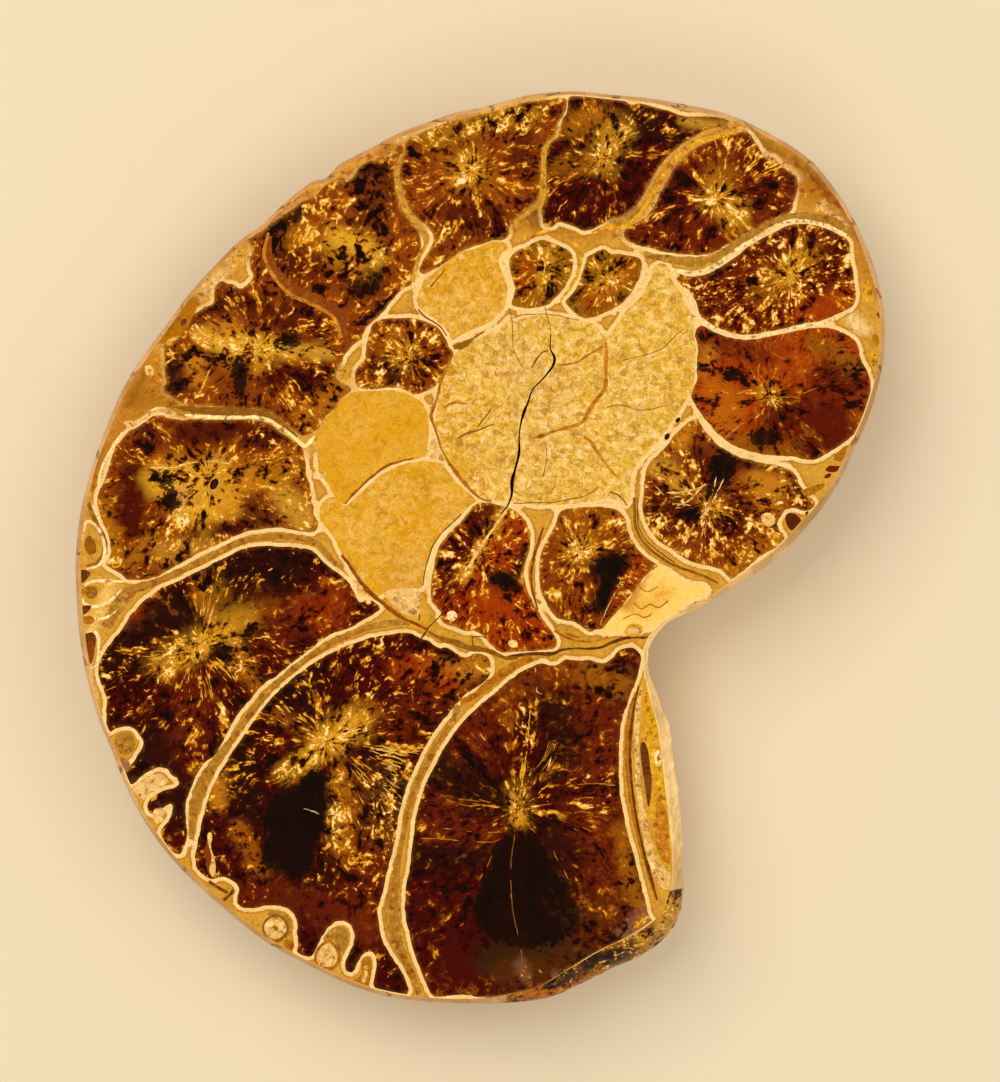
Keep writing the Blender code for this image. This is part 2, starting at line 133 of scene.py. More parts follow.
# --------------------------------------------------------------------------------------
# The cut face. Outlines and paths are points "x,y" in millimetres; "x,y,w" adds a width.
# Each region: name, material, tone, fleck density, how golden the lining along its walls is,
# centre of its crystals, outline. A later region lies over an earlier one.
REGIONS = [
    # the chambers of the last whorl, from the youngest
    ("A", "calcite", "M", .2, .12, (4.6, -31.4),
     "-1.5,-20.3 0,-18.9 1.5,-17.7 3,-16.4 4.5,-15.2 6,-14.4 7.5,-13.9 8.7,-14.15 9.6,-13.9 10.3,-13.4 "
     "11.5,-13.6 12.8,-13.5 13.6,-13.6 14.4,-13.9 15.2,-13.7 16,-13.2 16.5,-12.5 17.2,-12.1 18,-12 "
     "18.8,-12.3 19.25,-12.9 19.3,-13.6 19.1,-14.6 18.7,-16 18.1,-17.5 17.6,-19 17.1,-20.5 16.85,-22 "
     "16.7,-24 16.65,-26 16.7,-28 16.9,-30 17.15,-31.5 17.5,-33.3 18,-35.3 18.5,-37 18.9,-38.7 "
     "19.35,-40.5 19.8,-42.3 20.1,-43.7 20.6,-44.6 20.9,-45.2 17,-47.6 14,-49.4 12,-50.6 10,-51.6 "
     "8,-52.5 5.6,-53.3 3.5,-53.8 1.5,-53.95 0,-53.9 -2,-53.7 -4,-53.8 -5.6,-53.9 -6,-53.3 -6.6,-52 "
     "-7.2,-50.5 -7.8,-49 -8.2,-47.5 -8.55,-46 -8.9,-44.5 -9,-43 -8.95,-41.5 -8.75,-40 -8.45,-38.3 "
     "-8.15,-36 -7.95,-34.5 -7.6,-32 -7.05,-30 -6.35,-28 -5.35,-26 -4.3,-24 -2.9,-22"),
    ("B", "calcite", "M", .42, .12, (-18.3, -23.2),
     "-8.6,-53.3 -8.9,-52 -9.4,-50.8 -10.2,-49.7 -11,-48.5 -11.6,-47.3 -12,-46 -12.15,-44.8 "
     "-12.3,-43.5 -12,-42.5 -11.6,-41 -11.3,-39.5 -10.9,-38 -10.4,-36 -10,-34 -9.7,-32 -9.2,-30 "
     "-8.5,-28 -7.6,-26 -6.6,-24 -5.4,-22 -4,-20.2 -2.7,-18.6 -1,-17.1 .3,-16.3 1.2,-15.2 1.3,-14.2 "
     "1,-13.3 .3,-12.8 -.5,-12.7 -1.2,-13 -1.8,-13.2 -2.5,-12.9 -3.5,-12.3 -4.2,-11.9 -4.8,-12.1 "
     "-5.4,-11.8 -6.2,-11.2 -7,-10.9 -7.6,-10.7 -8.3,-10.3 -9.2,-10.25 -10.5,-10.4 -12,-10.6 -14,-11.1 "
     "-16,-11.8 -18,-12.7 -20,-13.9 -22,-15.3 -23.5,-16.6 -25,-18 -26.3,-19.6 -27.5,-21.3 -28.8,-23.2 "
     "-30,-25 -31.3,-27.2 -32.3,-29.3 -32.9,-31 -33.4,-33 -33.8,-35 -34.1,-36.5 -34.2,-37.5 -34,-38.3 "
     "-33.5,-39 -32.9,-39.5 -32,-39.8 -31,-39.5 -30,-39.8 -29.2,-40.4 -28.9,-41.2 -29.2,-42.2 "
     "-28.9,-43 -28,-43.3 -26.8,-43.2 -25.3,-43 -23.5,-43.2 -22.6,-43.7 -22.1,-44.5 -21.9,-45.3 "
     "-22,-46.3 -21.9,-47 -21.8,-47.8 -22,-48.4 -21.3,-48.9 -20.4,-49.1 -19.9,-48.7 -19.5,-47.8 "
     "-19.1,-46.9 -18.6,-46.1 -18,-45.4 -17.2,-44.9 -16.4,-44.8 -15.7,-45.1 -15.25,-45.8 -15.05,-46.7 "
     "-15.2,-47.6 -15.7,-48.6 -16.1,-49.6 -16.2,-50.5 -15.7,-51 -15.2,-50.9 -14.9,-50.2 -14.5,-49.5 "
     "-14,-48.8 -13.4,-48.5 -12.8,-48.6 -12.5,-49.3 -12.45,-50.3 -12.6,-51.3 -12.8,-52.3 -12.5,-53 "
     "-11.5,-53.5 -10.3,-53.8 -9.4,-53.9"),
    ("C", "calcite", "M", .4, .15, (-33.5, -11.5),
     "-23.5,.1 -22,0 -20.5,-.3 -19.5,-.9 -18.9,-1.6 -18.3,-2.2 -17.6,-2.7 -16.9,-3.2 -16,-3.9 "
     "-15.5,-4.6 -15.1,-5.3 -14.8,-6.1 -14.4,-6.6 -13.6,-6.3 -12.6,-6.6 -12,-7.3 -12.5,-7.8 -13.2,-8.3 "
     "-14,-8.7 -15,-9.3 -16.3,-9.9 -17.7,-10.3 -19,-11.1 -20.3,-12.2 -21.6,-13.1 -23,-14.2 -24.5,-15.5 "
     "-26,-16.4 -26.8,-17.3 -27.6,-18.3 -28.5,-19.3 -29.4,-20.5 -30.2,-22 -31,-23.6 -31.9,-25 "
     "-33,-25.8 -33.8,-26.9 -34.4,-28.2 -35,-29.7 -35.3,-31 -35.3,-32.5 -35.1,-34 -35.2,-35 "
     "-35.6,-36.2 -36.1,-36.8 -36.8,-36.6 -37.5,-36.2 -38.1,-35.3 -38.3,-34.4 -38.1,-33.7 -37.3,-32.7 "
     "-36.9,-31.6 -37,-30.8 -37.5,-30.9 -38.3,-31.5 -39.2,-32 -39.8,-31.6 -39.9,-30.6 -39.4,-30 "
     "-38.6,-29.5 -37.8,-29.1 -36.8,-28.9 -36.1,-28.4 -36.3,-27.7 -37.1,-27.2 -37.5,-26.6 -38.3,-26.4 "
     "-39.3,-26.6 -40.5,-27.4 -41.4,-28.2 -42,-28.5 -42.5,-28.1 -42.8,-27.3 -42.4,-26.7 -41.8,-26 "
     "-41.3,-25.2 -40.9,-24.6 -40.5,-23.9 -40.4,-23.2 -40.8,-22.5 -41.3,-21.9 -42,-21.55 -42.9,-21.5 "
     "-43.7,-21.7 -44.3,-22.1 -44.8,-21.4 -44.85,-20 -44.8,-18.5 -44.9,-17.6 -45.3,-16.8 -45.7,-15.8 "
     "-45.8,-14.7 -45.6,-13.6 -45.1,-12.6 -44.5,-11.7 -43.8,-10.8 -43.2,-10.2 -42.6,-9.2 -42.1,-8.3 "
     "-41.4,-7.5 -40.5,-6.5 -39.5,-5.8 -38.7,-5.2 -38,-4.7 -37,-4.4 -35.5,-3.7 -34,-2.9 -32.7,-2.3 "
     "-31.7,-1.7 -30.5,-1.2 -29.4,-.6 -28,-.1 -26.5,.2 -25,.2"),
    ("D", "calcite", "B", .46, .35, (-32.5, 8.5),
     "-35.8,15.2 -34.5,15.4 -33,15.35 -31,15.3 -29,15.35 -27,15.3 -25.8,15.1 -25,14.7 -24.2,14 "
     "-23.2,13.3 -22.2,12.7 -21.5,12.2 -21.2,11.5 -21.1,10.6 -20.9,9.9 -20.9,9.2 -20.7,8.4 -20.4,7.6 "
     "-20.4,6.9 -20.2,6.2 -20.2,5.4 -19.9,4.8 -20,4.2 -19.7,3.6 -19.4,2.9 -19.6,2.1 -20.2,1.85 "
     "-21.5,1.9 -23,2.2 -25,2.4 -26.5,2.2 -28,1.9 -29.5,1.3 -31,.6 -32.5,-.1 -34,-.8 -35.5,-1.7 "
     "-37,-2.5 -38.5,-3.3 -39.8,-3.8 -41,-3.9 -42.3,-3.8 -43,-3.3 -43.7,-2.8 -44.5,-2.3 -44.9,-2 "
     "-44.6,-1.4 -44.3,-.6 -44.4,.3 -44.5,1.2 -44.8,2 -45.3,3 -45.6,4 -45.9,5 -45.9,6 -45.6,6.9 "
     "-45.2,7.8 -44.8,8.8 -44.5,9.8 -44.3,10.6 -44,11.4 -43.6,12.2 -43.1,12.8 -42.6,13.4 -42.2,13.9 "
     "-41.4,14.3 -40.8,14.6 -40.2,15.1 -39.5,15.6 -38.8,15.9 -38,15.9 -37.6,15.5 -37,15.5 -36.4,15.4"),
    ("E", "calcite", "B", .44, .5, (-26.5, 24.0),
     "-36.5,24.9 -37.3,24.4 -37.9,23.7 -37.9,22.8 -37.9,21.8 -37.8,20.7 -37.6,19.7 -38,19.2 -37.8,18.6 "
     "-37.2,18.3 -36.6,17.9 -35.9,17.4 -35,17.1 -33,17 -30,16.8 -27,16.6 -25.5,16.3 -24.3,15.6 "
     "-23,14.6 -22,13.8 -21.3,13.4 -20.3,13.7 -19.6,14.2 -19.1,14.9 -18.5,15.8 -17.7,16.5 -17.2,17.1 "
     "-16.7,17.8 -16,18.4 -15.4,18.9 -15.9,19.4 -16.7,19.7 -17.3,20.5 -17.1,21.5 -16.5,22.3 -16.3,23 "
     "-15.7,23.8 -15,24.4 -14.3,25 -13.9,25.8 -13.6,26.5 -13,27 -12.3,27.6 -11.7,28.2 -11.1,29 "
     "-10.5,29.7 -9.9,30.4 -9.2,31.1 -8.3,31.5 -8.1,32.2 -8,33.2 -7.7,34.2 -7.3,35.2 -7.05,36 "
     "-7.1,36.8 -7.3,37.8 -7.9,38.6 -8.7,39.6 -9.4,40.7 -9.9,41.8 -10.15,43 -10.3,44.2 -10.3,45.2 "
     "-10,46 -9.7,46.7 -9.3,47.2 -9.2,47.9 -9.5,48.3 -10.2,47.8 -11.2,46.9 -12.2,46.4 -13.1,46.4 "
     "-14,46 -14.6,45.4 -15.1,44.6 -15.5,44.2 -16.1,43.8 -16.4,44.4 -17.2,44.2 -18.2,43.7 -19,43.1 "
     "-19.6,42.3 -20.3,41.9 -21.2,41.6 -22,41 -23,40.3 -24,39.6 -25,38.9 -25.8,38.4 -26.5,38.5 "
     "-27.2,38.2 -27.7,37.6 -27.7,36.6 -27.3,35.6 -27.6,34.6 -27.6,33.6 -27.2,32.6 -27.9,31.6 -28.8,31 "
     "-29.5,31.6 -30.4,31.7 -31,32 -31.7,31.4 -31.9,30.4 -32,29.3 -33,28.9 -33.8,28.4 -34.4,27.9 "
     "-34.8,27.4 -35.3,26.8 -35.9,26.2 -35.9,25.6"),
    ("G", "calcite", "B", .42, .7, (-.7, 45.2),
     "-9,48.3 -9.1,47.4 -9.4,46.6 -9.6,45.6 -9.6,44.4 -9.45,43.2 -9.1,42 -8.5,40.8 -7.8,39.8 -7,39 "
     "-6.1,38.3 -5.6,37.4 -5.7,36.5 -6.3,35.3 -7,34.2 -7.3,33.3 -6.9,32.8 -6,33.1 -5,33.6 -3.8,34.4 "
     "-2.6,35.2 -1.2,36 .3,36.4 1.7,36.8 2.8,36.9 3.4,37.5 3.5,38.2 3.9,39 4.6,39.8 5.3,40.4 6,40.9 "
     "6.8,41.4 7,42.2 7.3,43 7.35,44.5 7.4,46 7.6,47.5 8,48.6 8.9,49.4 9.2,50.2 9.6,51.2 10.2,52.2 "
     "10.4,53.2 10.3,53.9 8,53.7 5,53.3 2.5,52.5 0,51.9 -2,51.5 -5,50.6 -7,49.8 -8.5,48.9"),
    ("H", "calcite", "M", .36, .45, (14.7, 46.7),
     "13.6,38.2 15.5,39.3 17,39.8 18.2,40.5 19.2,41.6 20,43 20.8,44.5 21.6,45.8 22.6,47 24,48.2 "
     "25.5,49.2 27.5,50.2 29.5,50.7 30,51 29.7,51.4 29,51.7 27.5,51.75 25.5,51.7 24,51.9 23,52.3 "
     "21.5,52.7 20.5,53 19,53.3 18,53.2 17,53.8 15.5,53.9 14,54.1 12,54.2 10.6,54 10.5,52.6 10,51.5 "
     "9.5,50.3 9.3,49.2 8.4,48.5 8,47.2 7.9,46 7.9,44.5 8,43 7.8,41.8 7.4,40.6 7.5,39.6 7.7,38.6 "
     "8.6,38.4 9.3,39 10.3,38.9 11.5,38.4 12.6,38"),
    ("I", "calcite", "R", .42, .45, (28.3, 41.9),
     "32,49.9 30.8,49.7 29.3,49.3 28,48.9 26.8,48.4 25.5,47.7 24.6,47 23.8,46.1 23,45 22.3,43.7 "
     "21.6,42.5 21.1,41.3 20.5,40.3 19.5,39.4 18.3,38.7 17.3,38 17.4,37.1 18.6,36.4 20,36 22,35.5 "
     "24,35.2 26,35.1 28,35.4 29.5,36.2 31,37 32.5,37.9 34,38.8 35.2,39.4 36.4,39.9 37.4,40.4 "
     "37.6,41.4 38,42.5 38.1,43.6 38.1,44.2 37.5,44.8 36.8,45.3 36,46 35.3,46.7 34.4,46.7 33.9,47.3 "
     "33.4,48.2 32.8,49 32.4,49.6"),
    ("J", "calcite", "R", .54, .3, (37.3, 32.6),
     "23.8,32.9 23.6,32.2 24.2,31.5 24.9,31 25.4,30.3 25.9,29.6 26.1,28.8 26.4,27.9 27.2,27.2 "
     "28.2,26.5 29.5,26 31,25.6 33,25.6 35,26 37,26.4 39,26.9 41,27.2 42.5,27.9 43.8,28.4 44.9,29.2 "
     "45.1,30 45,31.5 44.8,33 44.5,34.5 44.4,35.7 44.2,36.8 43.4,37.4 42.3,38 41,38.5 39.5,38.8 "
     "38,38.8 36.7,38.5 35.2,37.8 33.7,37 32.2,36.1 30.8,35 29.4,34 28,33.2 26.8,32.7 25.5,32.5 "
     "24.5,32.6"),
    ("K", "calcite", "E", .2, .25, (35.0, 18.0),
     "25.9,26 26.6,26.7 27.5,26.2 29,25.5 31,25 33,25 35,25.4 37,25.8 39,26.2 41,26.4 42.5,26.2 "
     "43.7,25.7 45,24.8 45.4,24.1 45.6,23 46,22 46.5,21 46.8,20 46.9,19 46.9,18 46.8,17.2 46.2,16.3 "
     "45.9,15.4 45.7,14.4 45.2,13.8 44.2,13 43.2,12.2 42,11.5 41,10.9 40.3,10.5 39,10.6 37.5,10.9 "
     "36,11 34.5,11.1 33,11.4 31.5,11.8 30,12.5 28.9,13.3 28,14.2 27.2,15.2 26.4,16.2 25.8,17.2 "
     "25.3,18 25.6,19 26,20 26,21.5 26,22.5 26.2,23.5 26.1,24.4 25.8,25.2"),
    ("L", "calcite", "B", .52, .45, (27.0, 5.0),
     "25.3,15.2 24.5,14.6 23.5,13.7 22.6,12.5 21.5,11.3 20.6,10.4 20,9.4 19.7,8 19.6,6.5 19.5,5 "
     "19.7,3.8 20.1,2.5 20.7,1.6 21.4,.8 22.2,.3 23,-.2 24,-1 25,-1.5 26,-1.9 27.5,-2.2 28.8,-2.6 "
     "29.5,-3.2 30.2,-3.8 31,-3.3 32,-2.5 33,-1.6 34,-.8 35,-.3 35.9,.2 36.5,.9 36.4,1.6 35.9,2.1 "
     "35.7,2.8 35.9,3.4 36.3,4.1 36.8,4.6 37.6,4.7 38.6,4.5 39.5,4.4 40.1,4.8 40.2,5.4 39.5,6.2 38.7,7 "
     "38.2,7.7 38,8.5 37.5,9.1 36.5,9.6 35.5,9.9 34,10.1 32.5,10.5 31,10.9 29.8,11.5 28.6,12.3 "
     "27.5,13.4 26.6,14.6 26,15.5"),
    ("Mi", "calcite", "B", .5, .45, (11.8, -.5),
     "9.8,4.4 10.5,4.6 12,4.8 13.5,4.9 15,4.8 16.2,4.6 17,4.1 17.5,3.3 17.7,2.3 18,1.4 18.5,.4 "
     "19.2,-.5 20,-1.2 21,-1.9 21.4,-2.3 20.4,-2.9 19.5,-3.9 18.5,-5.2 17.5,-6.5 16.5,-7.7 15.6,-8.6 "
     "15,-9.4 14.4,-9.9 13.8,-9.9 13.3,-10.1 12.6,-9.8 12,-9.3 11,-8.8 10,-8.7 9.2,-8.4 8.5,-7.7 "
     "8,-6.8 7.5,-5.7 7.2,-4.7 7.1,-3.5 7.1,-2.3 7.2,-1.2 7.6,0 8.1,1 8.7,2 9.1,3 9.4,3.8"),
    ("Mc", "calcite", "I", .0, .0, (19.0, -6.0),
     "21.5,-2.3 22.3,-2.7 23.3,-3.4 24.5,-4.1 25.8,-4.5 27,-4.7 27.3,-5.3 26.3,-5.9 25.5,-6.2 "
     "24.5,-6.9 23.8,-7.6 23.2,-8.3 22.5,-8.8 21.6,-9.2 20.6,-9.6 19.7,-9.9 18.5,-10.2 17,-10.1 "
     "15.5,-10.2 14.5,-10.1 14.9,-9.6 15.6,-8.7 16.5,-7.8 17.5,-6.6 18.5,-5.3 19.5,-4 20.4,-3"),
    ("N", "calcite", "E", .5, .7, (.4, -1.0),
     "-5.8,-6.5 -5.9,-5 -5.8,-3.5 -5.5,-2 -5.1,-.5 -4.5,.8 -3.6,1.8 -2.7,2.7 -1.9,3.6 -1.3,4.3 -.8,5 "
     "0,5.4 .8,5.4 2,5.1 3,4.9 3.7,4.7 4.5,4.2 5.2,3.5 5.8,2.6 6.1,1.6 6,.5 5.8,-.8 5.4,-2 5.3,-3.2 "
     "5.5,-4.5 5.9,-5.6 6.4,-6.6 7,-7.6 7.4,-8.4 8,-9.2 8.7,-10.2 9.3,-11.4 9,-12 7.5,-12.3 5.5,-12.5 "
     "4,-12.5 2.6,-12.6 1.6,-11.9 .8,-11.1 0,-10.4 -.8,-10 -1.9,-10 -2.9,-9.6 -4,-9.2 -4.8,-8.6 "
     "-4.7,-7.8 -5.2,-7.2"),
    ("Q", "calcite", "B", .52, .5, (-8.3, 22.9),
     "-12.7,26.9 -12,27.3 -11,27.5 -10,27.5 -8.8,27.6 -7.5,27.4 -6.4,27.1 -5.4,26.6 -4.7,25.9 -4.1,25 "
     "-3.7,24.1 -3.2,23.4 -3.3,22.7 -3.9,21.9 -4.4,21 -4.7,20.2 -5.2,19.5 -5.9,19 -7,18.6 -7.9,18.3 "
     "-8.6,18.7 -9.5,19.1 -11,19.2 -12.5,19 -14,19 -14.8,19.4 -15,20.3 -14.9,21.2 -14.4,22 -13.9,22.4 "
     "-13.7,23.3 -13.6,24.5 -13.4,25.5 -13.1,26.3"),
    ("Si", "calcite", "L", .46, .45, (8.2, 33.5),
     "3.8,29.2 5,28.7 6.5,28.75 7.7,28.9 8.5,29.4 9.3,30.2 10,31 10.6,32 11,33 11.2,34 11.1,35 "
     "10.7,35.6 10,36 9.2,36.4 8.3,36.7 7.4,36.9 6.5,36.6 5.6,36.1 4.6,35.7 3.9,35.2 3.5,34.4 3.6,33.4 "
     "3.9,32.4 4.15,31.2 4.1,30.2"),
    ("Ti", "calcite", "L", .46, .45, (15.5, 32.3),
     "12.9,34.9 13.5,35.2 14.3,35.6 14.9,35.9 15.6,35.3 16.5,35.2 17.6,35.1 18.6,34.9 19.3,34.6 "
     "19.4,33.6 19.2,32.6 18.8,31.7 18.4,30.9 17.7,30 17,29.3 16,28.7 15,28.2 13.8,27.7 12.7,27.5 "
     "12,27.7 11.2,28.3 10.6,28.9 10.2,29.5 10.8,30.2 11.5,31.1 12,32.2 12.4,33.3 12.7,34.2"),
    # hardened mud in the inner whorls
    ("P", "mud", "Y", .5, .0, (-12.0, 14.0),
     "-15.2,18.6 -13.5,18.75 -12,18.8 -10.5,18.85 -9,18.5 -8,18.1 -7,17.4 -6.3,16.2 -6.2,15 -6.1,13.5 "
     "-6.3,12.4 -6.4,11.2 -7.3,10.7 -9,10.4 -10.5,9.9 -12,9.1 -13.3,8.2 -14.5,7.2 -15.4,6.2 -16.1,5.2 "
     "-17,5.5 -17.8,6.8 -18.5,8 -19.3,9 -19.5,10.5 -19.5,12 -19.6,13.2 -19.1,14.2 -18.5,15.2 "
     "-17.9,16.2 -17,17 -16.3,17.8"),
    ("Om", "mud", "Y", .65, .0, (-10.0, 2.0),
     "-15.4,5.5 -14,6.8 -12.5,8.2 -11,9.2 -9.5,9.9 -8,10.2 -7,10.4 -5.8,10.3 -4.5,10.1 -4.1,9.4 "
     "-3.3,8.5 -2.6,7.6 -1.7,6.8 -1,6.2 -.5,5.6 -1.3,4.9 -2.2,4 -3.3,3 -4.4,2 -5.3,.8 -5.9,-.7 "
     "-6.4,-2.2 -6.8,-3.6 -7,-4.9 -8,-4.9 -9.2,-4.9 -10,-5.2 -11,-5.3 -11.7,-5.6 -12.2,-5.9 -12.9,-5.3 "
     "-13.6,-4.6 -14.2,-3.9 -15,-3 -15.7,-2.1 -16.4,-1.1 -17,0 -17.4,1 -18.1,2 -18.8,2.8 -19.3,3.8 "
     "-19.1,5 -18.4,5.9 -17.6,6.1 -16.8,5.3 -16.1,5"),
    ("Rm", "mud", "Y", .72, .0, (-1.0, 31.5),
     "-7,31.4 -6.6,32.2 -5.6,32.9 -4.4,33.9 -3.3,34.8 -2,35.5 -.5,36 1,36.5 2.6,36.7 3.3,36.4 3.4,35.9 "
     "2.5,35.2 2.3,34 2.7,33 3,32 3.3,31 3.2,30 3,29 2.4,28.2 1.5,27.3 .3,26.6 -1,26.1 -2.2,25.6 "
     "-3.2,24.9 -3.8,25.8 -4.5,26.6 -5.5,27.5 -6.5,28.1 -7.3,28.8 -7.6,29.6 -7.4,30.5"),
    ("U", "mud", "U", 1.0, .0, (10.0, 17.0),
     "-2.9,23.3 -1.5,24.5 0,25.1 1.5,25.9 2.8,26.6 3.6,27.6 4.2,27.1 5,27.5 6.5,27.8 8,27.9 9.3,27.8 "
     "11,27.4 12.5,27.1 13.6,26.9 14.3,26.2 14.9,25.3 15.3,25.3 15.8,25.9 16.6,27 17.4,28.3 18.4,29.2 "
     "19.4,30.2 20,31.2 20.5,32.4 20.8,33.6 21.8,34.1 22.7,33.6 22.9,32.6 23.3,31.6 24,30.8 24.4,29.8 "
     "24.9,28.8 25.5,27.8 25.7,26.6 25.8,25 25.9,23 25.8,21 25.6,19.5 25.2,18.3 24.6,17.6 24.1,16.6 "
     "23.4,15.6 22.4,14.2 21.6,13.1 20.5,11.8 19.7,11 18.9,10.2 18.4,9.2 18.1,8 18.1,6.5 17.9,5.5 "
     "17.3,5 16.4,5.6 15.4,5.9 14.5,5.8 13,5.5 11,5.2 9,5.1 7,5.1 5,5.4 4,5.6 3.5,5.6 2,5.6 .3,6 "
     "-1,6.6 -2.5,8.3 -3.9,10.2 -4.7,12 -5.1,13.5 -5.4,14.5 -5.2,16 -5,18 -4.5,20 -4,21.4 -3.3,22.5"),
]

